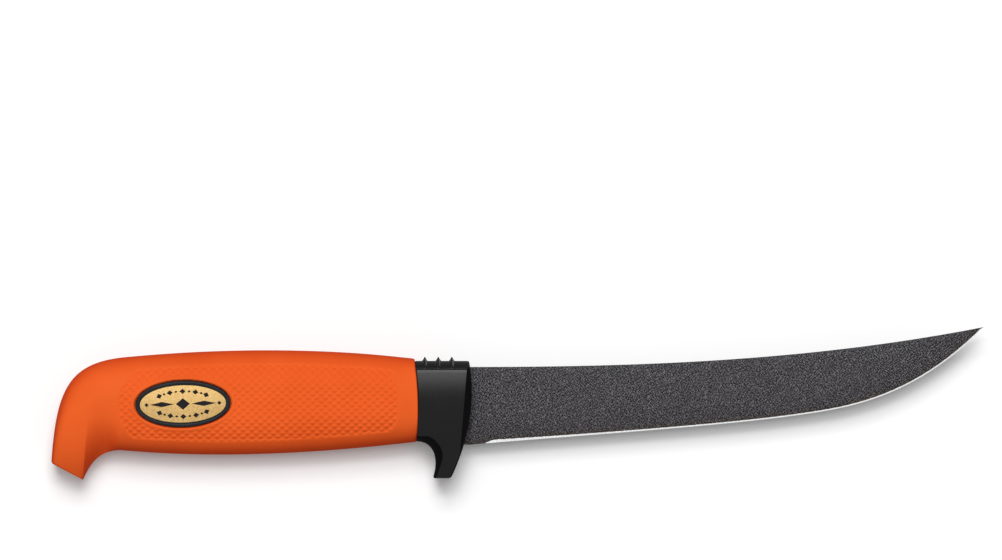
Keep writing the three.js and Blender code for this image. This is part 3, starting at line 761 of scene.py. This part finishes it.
# Grip
# Soft orange plastic moulded over the core, with a hooked butt cut off square at its beak. A diamond pattern
# is sunk into both flanks, and an oval recess in the upper flank takes the badge.
GRIP_LENGTH = 121.0
GRIP_FRONT_TOP = 13.65
GRIP_FRONT_DEPTH = 13.8
BACK_CREST = 16.4
SHOULDER_FROM_BUTT = 26.1
SHOULDER_HEIGHT = 14.3
BUTT_ROUND = 5.1
BUTT_ROUND_HEIGHT = 12.8
BUTT_FLAT = 1.8
BUTT_FLAT_HEIGHT = 3.55
BUTT_CORNER_DEPTH = 20.7
BELLY_FORE = 17.55
BELLY_AFT = 19.6
NECK_FROM_BUTT = 22.75
NECK_DEPTH = 16.55
NECK_RUN = 8.6
BEAK_FROM_BUTT = 10.4
BEAK_DEPTH = 26.3
BEAK_LEAN = 1.5
BEAK_LEAN_RUN = 2.75
CUT_EDGE = 0.7
GRIP_THICKNESS = 24.0
CROWN = 0.25
GRIP_FRONT_THICKNESS = 22.2
NECK_THICKNESS = 23.2
BUTT_THICKNESS = 24.0
BEAK_THINNING = 0.75
BEAK_CURVE = 3.0
FLANK_POWER = 2.6
EDGE_POWER = 2.2
BEAK_POWER = 5.0
FRONT_ROLL = 12.0
FRONT_EDGE = 0.5
NECK_TAPER = 18.0
FLARE_SHARE = 0.5
SQUARE_SHARE = 0.3
CREASE_FROM_BUTT = 13.3
CREASE_TOP = 4.0
ROLL_POWER = 0.8
FLAT_SOFTNESS = 0.05
JOINT_CURVE_RUN = 25.0
GRIP_WALL = 4.0
BUTT_SOLID = 20.0
CORE_TURN = 0.7
CORE_STATIONS = 14
CORE_POINTS = 40
BADGE_LENGTH = 31.4
BADGE_HEIGHT = 15.3
BADGE_DEPTH = 1.5
BADGE_SINK = 0.6
BADGE_FROM_JOINT = 77.4
BADGE_OFFSET = -1.2
BADGE_TILT = math.radians(1.8)
RECESS_LIP = 0.7
FAR_FROM_BADGE = 50.0
DIAMOND_LENGTH = 2.86
DIAMOND_HEIGHT = 2.36
DIAMOND_DEPTH = 0.45
DIAMOND_ROUND = 33.0
DIAMOND_LIMIT = 0.9
DIAMOND_FLAT = 0.1
DIAMOND_CENTRE = (-61.8, -1.58)
PATTERN_MARGIN = 4.1
PATTERN_FADE = 1.1
PATTERN_REAR = -116.2
PATTERN_FRONT = -23.2
REAR_BOW = 5.5
REAR_BOW_MIDDLE = -2.0
REAR_BOW_REACH = 11.5
FRONT_BOW = 3.3
FRONT_BOW_REACH = 11.0
BODY_STATIONS = 380
FRONT_SKIPPED = 3
HOOK_STATIONS = 130
SECTION_POINTS = 320
GIRTH_POINTS = 20001
EDGE_STATIONS = 6
OVAL_POINTS = 180
GRIP_CREASE = 50.0
EDGE_SHADE_TINT = (1.0, 0.55, 0.45)

butt_x = joint_x - GRIP_LENGTH
shoulder_x = butt_x + SHOULDER_FROM_BUTT
neck_x = butt_x + NECK_FROM_BUTT
beak_x = butt_x + BEAK_FROM_BUTT
crest_pull = (8.0 * BACK_CREST - GRIP_FRONT_TOP - SHOULDER_HEIGHT) / 6.0
back_body = drawn(
    (joint_x, GRIP_FRONT_TOP),
    (lerp(joint_x, shoulder_x, 1.0 / 3.0), crest_pull),
    (lerp(joint_x, shoulder_x, 2.0 / 3.0), crest_pull),
    (shoulder_x, SHOULDER_HEIGHT),
)
back_hook = drawn(
    (shoulder_x, SHOULDER_HEIGHT),
    (butt_x + BUTT_ROUND, BUTT_ROUND_HEIGHT),
    (butt_x + BUTT_FLAT, BUTT_FLAT_HEIGHT),
    (butt_x, -BUTT_CORNER_DEPTH),
)
belly_body = drawn(
    (joint_x, -GRIP_FRONT_DEPTH),
    (lerp(joint_x, neck_x, 1.0 / 3.0), -BELLY_FORE),
    (lerp(joint_x, neck_x, 2.0 / 3.0), -BELLY_AFT),
    (neck_x, -NECK_DEPTH),
)
belly_hook = drawn(
    (neck_x, -NECK_DEPTH),
    (neck_x - NECK_RUN, -NECK_DEPTH),
    (beak_x + BEAK_LEAN, -BEAK_DEPTH + BEAK_LEAN_RUN),
    (beak_x, -BEAK_DEPTH),
)
belly_line = np.concatenate([belly_body, belly_hook[1:]])
body_length = np.linalg.norm(np.diff(back_body, axis=0), axis=1).sum()
hook_length = np.linalg.norm(np.diff(back_hook, axis=0), axis=1).sum()


def body_half(shares):
    """Half thickness along the grip's body, from the joint to the neck."""
    passed = shares * body_length
    risen = lerp(GRIP_FRONT_THICKNESS / 2.0, GRIP_THICKNESS / 2.0 + CROWN, ease(passed, 0.0, FRONT_ROLL))
    return lerp(NECK_THICKNESS / 2.0, risen, ease(body_length - passed, 0.0, NECK_TAPER))


def hook_half(shares):
    """Half thickness round the hook, from the neck to the butt."""
    return lerp(NECK_THICKNESS / 2.0, BUTT_THICKNESS / 2.0, ease(shares, 0.0, FLARE_SHARE))


def rolled_off(rings, shares):
    """Thins the hook towards its beak, and rolls its flank off towards the belly ahead of a crease."""
    x, y, z = np.moveaxis(rings, -1, 0)
    thinned = np.abs(z) * (1.0 - BEAK_THINNING * np.clip(-y / BEAK_DEPTH, 0.0, 1.0) ** BEAK_CURVE)
    down = np.clip((CREASE_TOP - y) / (CREASE_TOP + BEAK_DEPTH), 0.0, 1.0)
    ahead = np.maximum(x - lerp(butt_x + CREASE_FROM_BUTT, beak_x, down), 0.0)
    to_belly = away(rings[..., :2], belly_line)
    rolled = thinned * (to_belly / np.maximum(ahead + to_belly, 1e-6)) ** (ROLL_POWER * down)
    rolled = lerp(np.abs(z), rolled, ease(shares, 0.0, SQUARE_SHARE)[:, None])
    return np.stack([x, y, np.sign(z) * rolled], axis=-1)


def squared(wave, power):
    """A sine or cosine drawn out towards a square as the power grows."""
    return np.sign(wave) * np.abs(wave) ** (2.0 / power)


def handle_rings(back, belly, half, squareness, inset, turn):
    """Sections of the handle, each from a point on the back to one on the belly, set in by a depth."""
    centre = (back + belly) / 2.0
    reach = np.linalg.norm(back - centre, axis=1)
    up = (back - centre) / reach[:, None]
    flank_power = lerp(FLANK_POWER, BEAK_POWER, squareness)[:, None]
    edge_power = lerp(EDGE_POWER, BEAK_POWER, squareness)[:, None]
    rise = squared(np.cos(turn), flank_power) * (reach - inset)[:, None]
    across = squared(np.sin(turn), edge_power)
    x = centre[:, :1] + up[:, :1] * rise
    y = centre[:, 1:] + up[:, 1:] * rise
    z = across * (half - inset)[:, None]
    return np.stack([x, y, z], axis=-1), reach[:, None] - np.abs(rise)


# Points stand evenly round the section. Stations crowd together at the rolled front and at the beak's cut.
fine_turn = np.linspace(0.0, 2.0 * math.pi, GIRTH_POINTS)
fine_rise = squared(np.cos(fine_turn), FLANK_POWER) * BACK_CREST
fine_across = squared(np.sin(fine_turn), EDGE_POWER) * GRIP_THICKNESS / 2.0
girth = np.concatenate([[0.0], np.cumsum(np.hypot(np.diff(fine_rise), np.diff(fine_across)))])
turn = np.interp(np.linspace(0.0, girth[-1], SECTION_POINTS, endpoint=False), girth, fine_turn)
quarter = np.linspace(0.0, math.pi / 2.0, EDGE_STATIONS)
front_shares = FRONT_EDGE * (1.0 - np.sin(quarter[::-1][:-1])) / body_length
front_shares = np.sort(np.concatenate([front_shares, [FRONT_EDGE / body_length]]))
even_shares = np.linspace(0.0, 1.0, BODY_STATIONS, endpoint=False)
body_shares = np.concatenate([front_shares, even_shares[FRONT_SKIPPED:]])
hook_shares = np.linspace(0.0, 1.0 - CUT_EDGE / hook_length, HOOK_STATIONS)
cut_shares = 1.0 - CUT_EDGE * (1.0 - np.sin(quarter[1:])) / hook_length
cut_in = CUT_EDGE * (1.0 - np.cos(quarter[1:]))
tail_shares = np.concatenate([hook_shares, cut_shares])
tail_in = np.concatenate([np.zeros(HOOK_STATIONS), cut_in])
to_tip = (belly_hook[-1] - back_hook[-1]) / np.linalg.norm(belly_hook[-1] - back_hook[-1])
body_rings, body_edge = handle_rings(
    along(back_body, body_shares),
    along(belly_body, body_shares),
    body_half(body_shares),
    np.zeros(len(body_shares)),
    rounded(body_shares * body_length, FRONT_EDGE),
    turn,
)
hook_rings, hook_edge = handle_rings(
    along(back_hook, tail_shares) + to_tip * tail_in[:, None],
    along(belly_hook, tail_shares),
    hook_half(tail_shares) - tail_in,
    ease(tail_shares, SQUARE_SHARE, 1.0),
    np.zeros(len(tail_shares)),
    turn,
)
grip_rings = np.concatenate([body_rings, rolled_off(hook_rings, tail_shares)])
from_edge = np.concatenate([body_edge, hook_edge])
grip_x, grip_y, grip_z = np.moveaxis(grip_rings, -1, 0)

# The flanks are rubbed flat to one thickness, without a visible border.
over = (np.abs(grip_z) - GRIP_THICKNESS / 2.0) / FLAT_SOFTNESS
flat_z = GRIP_THICKNESS / 2.0 - FLAT_SOFTNESS * np.logaddexp(0.0, -over)

# Diamonds: two families of grooves cross in a lattice that follows the bow of the flank.
bowed = np.clip((grip_y - DIAMOND_CENTRE[1]) / DIAMOND_ROUND, -DIAMOND_LIMIT, DIAMOND_LIMIT)
girth_y = DIAMOND_ROUND * np.arcsin(bowed)
lattice_x = (grip_x - DIAMOND_CENTRE[0]) / DIAMOND_LENGTH
lattice_y = girth_y / DIAMOND_HEIGHT
groove = np.zeros_like(grip_x)
for slant in (lattice_x + lattice_y, lattice_x - lattice_y):
    groove = np.maximum(groove, np.abs(slant - np.round(slant)) * 2.0)
badge_x = grip_x - (joint_x - BADGE_FROM_JOINT)
badge_y = grip_y - BADGE_OFFSET
badge_u = badge_x * math.cos(BADGE_TILT) + badge_y * math.sin(BADGE_TILT)
badge_v = badge_y * math.cos(BADGE_TILT) - badge_x * math.sin(BADGE_TILT)
recess_a = BADGE_LENGTH / 2.0 + CLEARANCE
recess_b = BADGE_HEIGHT / 2.0 + CLEARANCE
oval_share = np.hypot(badge_u / recess_a, badge_v / recess_b)
oval_slope = np.hypot(badge_u / recess_a ** 2, badge_v / recess_b ** 2) / np.maximum(oval_share, 0.01)
from_badge = np.where(grip_z > 0.0, (oval_share - 1.0) / np.maximum(oval_slope, 1e-6), FAR_FROM_BADGE)
rear_end = PATTERN_REAR + REAR_BOW * ((grip_y - REAR_BOW_MIDDLE) / REAR_BOW_REACH) ** 2
front_end = PATTERN_FRONT - FRONT_BOW * (np.abs(grip_y) / FRONT_BOW_REACH) ** 4
from_border = np.minimum(from_edge - PATTERN_MARGIN, np.minimum(grip_x - rear_end, front_end - grip_x))
from_border = np.minimum(from_border, from_badge - RECESS_LIP)
shown = ease(from_border, 0.0, PATTERN_FADE)
sunk = DIAMOND_DEPTH * shown * ease(groove, DIAMOND_FLAT, 1.0)
lip = np.where(from_badge > 0.0, rounded(from_badge, RECESS_LIP), RECESS_LIP)
grip_z = np.sign(grip_z) * (flat_z - sunk - lip)

# The front follows the joint's curve.
bow = joint_x - joint_at(grip_y, 0.0)
grip_x = grip_x - bow * (1.0 - ease(joint_x - grip_x, 0.0, JOINT_CURVE_RUN))
grip_rings = np.stack([grip_x, grip_y, grip_z], axis=-1)
cut_middle = (*((back_hook[-1] + belly_hook[-1]) / 2.0), 0.0)
grip = solid("grip_moulding", *skin(grip_rings, (joint_x, 0.0, 0.0), cut_middle))

# The core's room, a wall's thickness inside the grip, ends short of the solid butt.
core_shares = np.linspace(0.0, 1.0, CORE_STATIONS, endpoint=False)
turned_shares = np.linspace(0.0, CORE_TURN, CORE_STATIONS)
core_turn = np.linspace(0.0, 2.0 * math.pi, CORE_POINTS, endpoint=False)
wall = np.full(CORE_STATIONS, GRIP_WALL)
core_body, _ = handle_rings(
    along(back_body, core_shares),
    along(belly_body, core_shares),
    body_half(core_shares),
    np.zeros(CORE_STATIONS),
    wall,
    core_turn,
)
core_hook, _ = handle_rings(
    along(back_hook, turned_shares),
    along(belly_hook, turned_shares),
    hook_half(turned_shares),
    ease(turned_shares, SQUARE_SHARE, 1.0),
    wall,
    core_turn,
)
core_ahead = core_body[:1] + (GUARD_LENGTH / 2.0, 0.0, 0.0)
core_rings = np.concatenate([core_ahead, core_body, core_hook])
core_space = solid("core_space", *skin(core_rings, core_rings[0].mean(axis=0), core_rings[-1].mean(axis=0)))
core_end = butt_x + BUTT_SOLID - CLEARANCE
reach_box = (-BEAK_DEPTH * 2.0, BEAK_DEPTH * 2.0, GRIP_THICKNESS)
carve(core_space, bar("core_reach", [(core_end, *reach_box), (GUARD_LENGTH, *reach_box)]), "INTERSECT")
carve(grip, core_space)


def oval(inset, z):
    """A ring of the badge's outline, set in by a distance, at a height above the badge's foot."""
    turn = np.linspace(0.0, 2.0 * math.pi, OVAL_POINTS, endpoint=False)
    u = np.cos(turn) * (BADGE_LENGTH / 2.0 - inset)
    v = np.sin(turn) * (BADGE_HEIGHT / 2.0 - inset)
    return on_badge(u, v, np.full(OVAL_POINTS, z))


def on_badge(u, v, z):
    """Points of the drawing from the badge's own length, height and depth."""
    x = joint_x - BADGE_FROM_JOINT + u * math.cos(BADGE_TILT) - v * math.sin(BADGE_TILT)
    y = BADGE_OFFSET + u * math.sin(BADGE_TILT) + v * math.cos(BADGE_TILT)
    return np.stack([x, y, z + GRIP_THICKNESS / 2.0 - BADGE_SINK - BADGE_DEPTH], axis=-1)


def stacked(name, layers):
    """A badge layer over oval rings, from its foot to its face, each given by inset and height."""
    rings = np.stack([oval(*layer) for layer in layers])
    return solid(name, *skin(rings, rings[0].mean(axis=0), rings[-1].mean(axis=0)))


carve(grip, stacked("badge_recess", [(-CLEARANCE, -CLEARANCE), (-CLEARANCE, GRIP_THICKNESS)]))
grip_rubber = moulded(
    "grip_rubber", tone(241, 99, 40), tone(247, 105, 45), gloss=(0.6, 0.75), specular=0.02,
    grain_scale=2200.0, cloud_scale=60.0, depth=0.02,
)

# Painted shade: the orange is made a deeper, darker red where its surface turns from the eye.
tree = grip_rubber.node_tree
base_colour = tree.nodes["Principled BSDF"].inputs["Base Color"]
turned = add(tree, "ShaderNodeLayerWeight", Blend=0.5)
edge_shade = ramp(tree, turned.outputs["Facing"], (0.0, (1.0, 1.0, 1.0)), (1.0, EDGE_SHADE_TINT))
tree.links.new(blend(tree, "MULTIPLY", base_colour.links[0].from_socket, edge_shade), base_colour)

dress(grip, GRIP_CREASE, grip_rubber)
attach(grip, "root")
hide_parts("grip")

# Badge cup
# A dark slate plastic oval with a raised round rim, glued into the recess a little below the flank.
BADGE_RIM = 1.4
BADGE_FLOOR = 0.5
RIM_SHOULDER = 0.8
RIM_FULLNESS = 0.7
RIM_ROWS = 15
CUP_CREASE = 40.0
rim_rings = [
    (BADGE_RIM / 2.0 * (1.0 - math.cos(t)), lerp(RIM_SHOULDER, BADGE_DEPTH, math.sin(t) ** RIM_FULLNESS))
    for t in np.linspace(0.0, math.pi, RIM_ROWS)
]
badge_cup = stacked("badge_cup", [(0.0, 0.0), *rim_rings, (BADGE_RIM, BADGE_FLOOR)])
rim_plastic = moulded(
    "badge_rim", tone(30, 34, 38), tone(40, 44, 49), gloss=(0.3, 0.42), specular=0.1,
    grain_scale=2600.0, cloud_scale=200.0, depth=0.01,
)
dress(badge_cup, CUP_CREASE, rim_plastic)
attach(badge_cup, "root")
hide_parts("badge_frame")

# Badge plate
# A thin stamped plate with a finely blasted pale gold face, lying on the cup's floor.
PLATE_TOP = 1.3
PLATE_EDGE = 0.12
PLATE_BULGE = 0.3
PLATE_GAP = 0.1
PLATE_CREASE = 30.0
GOLD_SHADES = ((0.32, (192, 154, 92)), (0.68, (232, 196, 130)))
GOLD_GLOSS = (0.48, 0.62)
GOLD_GRAIN = 0.01
GOLD_RELIEF = 0.3
plate_in = BADGE_RIM + PLATE_GAP
badge_plate = stacked("badge_face", [
    (plate_in, BADGE_FLOOR),
    (plate_in, PLATE_TOP - PLATE_EDGE),
    (plate_in + PLATE_EDGE * PLATE_BULGE, PLATE_TOP - PLATE_EDGE * PLATE_BULGE),
    (plate_in + PLATE_EDGE, PLATE_TOP),
])
gold, tree, shader = finish("badge_gold", GOLD_GLOSS[0], metallic=0.35, specular=0.2)
place = add(tree, "ShaderNodeTexCoord")
blasting = add(tree, "ShaderNodeTexNoise", Scale=3000.0, Detail=2.0, Roughness=0.6)
tree.links.new(place.outputs["Object"], blasting.inputs["Vector"])
gold_shade = ramp(tree, blasting.outputs["Fac"], *toned(GOLD_SHADES))
tree.links.new(gold_shade, shader.inputs["Base Color"])
tree.links.new(spread(tree, blasting.outputs["Fac"], *GOLD_GLOSS), shader.inputs["Roughness"])
relief(tree, blasting.outputs["Fac"], shader, GOLD_GRAIN, GOLD_RELIEF)
dress(badge_plate, PLATE_CREASE, gold)
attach(badge_plate, "root")
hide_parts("badge_plate")

# Badge ornament
# A plain raised ornament in dark enamel on the gold: a lozenge between tapered bars, with a row of leaves
# above it and one below it.
ENAMEL_RISE = 0.06
MIDDLE_LOZENGE = (2.3, 1.9)
SIDE_BAR = (4.0, 0.85)
SIDE_BAR_PLACE = 6.9
END_LOZENGE = (0.7, 0.7)
END_LOZENGE_PLACE = 12.0
LEAF_COUNT = 9
LEAF_STEP = 0.21
LEAF_ARC = (10.4, 4.15)
LARGE_LEAF = (1.0, 0.85)
SMALL_LEAF = (0.5, 0.42)
ENAMEL_CREASE = 30.0


def lozenge(u, v, half_length, half_height, lean=0.0):
    """A flat-topped four-pointed shape on the plate, leaning by an angle."""
    long_u = half_length * math.cos(lean)
    long_v = half_length * math.sin(lean)
    high_u = -half_height * math.sin(lean)
    high_v = half_height * math.cos(lean)
    corner_u = u + np.array([long_u, high_u, -long_u, -high_u])
    corner_v = v + np.array([long_v, high_v, -long_v, -high_v])
    foot = on_badge(corner_u, corner_v, np.full(4, PLATE_TOP - ENAMEL_RISE))
    face = on_badge(corner_u, corner_v, np.full(4, PLATE_TOP + ENAMEL_RISE))
    return skin(np.stack([foot, face]), foot.mean(axis=0), face.mean(axis=0))


shapes = [(0.0, 0.0, *MIDDLE_LOZENGE)]
for side in (-1.0, 1.0):
    shapes.append((side * SIDE_BAR_PLACE, 0.0, *SIDE_BAR))
    shapes.append((side * END_LOZENGE_PLACE, 0.0, *END_LOZENGE))
    for leaf in range(LEAF_COUNT):
        turned = (leaf - LEAF_COUNT // 2) * LEAF_STEP
        leaf_u = LEAF_ARC[0] * math.sin(turned)
        leaf_v = side * LEAF_ARC[1] * math.cos(turned)
        lean = math.atan2(-side * LEAF_ARC[1] * math.sin(turned), LEAF_ARC[0] * math.cos(turned))
        shapes.append((leaf_u, leaf_v, *(SMALL_LEAF if leaf % 2 else LARGE_LEAF), lean))
ornament_points = np.zeros((0, 3))
ornament_faces = []
for shape in shapes:
    more_points, more_faces = lozenge(*shape)
    ornament_faces += [[corner + len(ornament_points) for corner in face] for face in more_faces]
    ornament_points = np.concatenate([ornament_points, more_points])
ornament = solid("badge_ornament", ornament_points, ornament_faces)
enamel = moulded(
    "badge_enamel", tone(30, 27, 30), tone(40, 37, 40), gloss=(0.4, 0.55), specular=0.06,
    grain_scale=3000.0, cloud_scale=300.0, depth=0.01,
)
dress(ornament, ENAMEL_CREASE, enamel)
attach(ornament, "root")

# Table and light
# The knife lies on a white sheet in a pale room, seen from straight above. A wide soft lamp beyond its spine
# gives the mouldings their shine, and one nearly overhead, which nothing mirrors, keeps the shadow short.
# The sheet gives less light back to the knife than it shows, so the shadow stays grey.
SHEET_SIZE = 8.0
SHEET_LIFT = 0.13
SHEET_RETURN = 0.3
PAPER_ROUGHNESS = 0.9
ROOM_LEVEL = 0.24
PIXELS_PER_MM = 3.03
IMAGE_WIDTH = 1002
VIEW_CENTRE = (10.23, 39.6)
LENS = 500.0
SENSOR = 36.0
LAMP_DISTANCE = 4.0
KEY_TILT = 25.0
KEY_TURN = -11.0
KEY_SIZE = 1.55
KEY_POWER = 65.0
TOP_TILT = 12.0
TOP_TURN = 0.0
TOP_SIZE = 1.33
TOP_POWER = 53.5


def soft_lamp(name, tilt, turn, size, power, mirrored):
    """A square lamp that faces the knife, tilted off the vertical and turned about it from the spine."""
    light = bpy.data.lights.new(name, "AREA")
    light.size = size
    light.energy = power
    lamp = bpy.data.objects.new(name, light)
    bpy.context.scene.collection.objects.link(lamp)
    lean = math.radians(tilt)
    swing = math.radians(turn)
    lamp.rotation_euler = (-lean, 0.0, -swing)
    outward = np.array([math.sin(lean) * math.sin(swing), math.sin(lean) * math.cos(swing), math.cos(lean)])
    lamp.location = outward * LAMP_DISTANCE
    lamp.visible_glossy = mirrored


def show_white(tree, strength, lit, seen):
    """One strength for light that falls on things, another where the surface is seen or mirrored."""
    ray = add(tree, "ShaderNodeLightPath")
    looked_at = ray.outputs["Is Camera Ray"]
    for kind in ("Is Glossy Ray", "Is Transmission Ray"):
        either = tree.nodes.new("ShaderNodeMath")
        either.operation = "MAXIMUM"
        tree.links.new(looked_at, either.inputs[0])
        tree.links.new(ray.outputs[kind], either.inputs[1])
        looked_at = either.outputs["Value"]
    tree.links.new(spread(tree, looked_at, lit, seen), strength)


half_sheet = SHEET_SIZE / 2.0
sheet_mesh = bpy.data.meshes.new("white_sheet")
sheet_corners = np.array([(-1.0, -1.0), (1.0, -1.0), (1.0, 1.0), (-1.0, 1.0)]) * half_sheet
sheet_mesh.from_pydata([(x, y, cad_box[0][2]) for x, y in sheet_corners], [], [(0, 1, 2, 3)])
sheet = bpy.data.objects.new("white_sheet", sheet_mesh)
bpy.context.scene.collection.objects.link(sheet)
paper, tree, shader = finish("white_paper", PAPER_ROUGHNESS, specular=0.0)
show_white(tree, shader.inputs["Base Color"], SHEET_RETURN, 1.0)
shader.inputs["Emission Color"].default_value = (1.0, 1.0, 1.0, 1.0)
show_white(tree, shader.inputs["Emission Strength"], 0.0, SHEET_LIFT)
sheet_mesh.materials.append(paper)

room = bpy.data.worlds.new("pale_room")
room.use_nodes = True
room.node_tree.nodes["Background"].inputs["Color"].default_value = (1.0, 1.0, 1.0, 1.0)
show_white(room.node_tree, room.node_tree.nodes["Background"].inputs["Strength"], ROOM_LEVEL, 1.0)
bpy.context.scene.world = room

soft_lamp("key_lamp", KEY_TILT, KEY_TURN, KEY_SIZE, KEY_POWER, True)
soft_lamp("top_lamp", TOP_TILT, TOP_TURN, TOP_SIZE, TOP_POWER, False)

camera_data = bpy.data.cameras.new("view")
camera_data.lens = LENS
camera_data.sensor_width = SENSOR
camera = bpy.data.objects.new("view", camera_data)
bpy.context.scene.collection.objects.link(camera)
view_distance = IMAGE_WIDTH / PIXELS_PER_MM * LENS / SENSOR
camera.location = np.array([*VIEW_CENTRE, view_distance]) * MM + datum
bpy.context.scene.camera = camera
bpy.context.scene.view_settings.view_transform = "Standard"
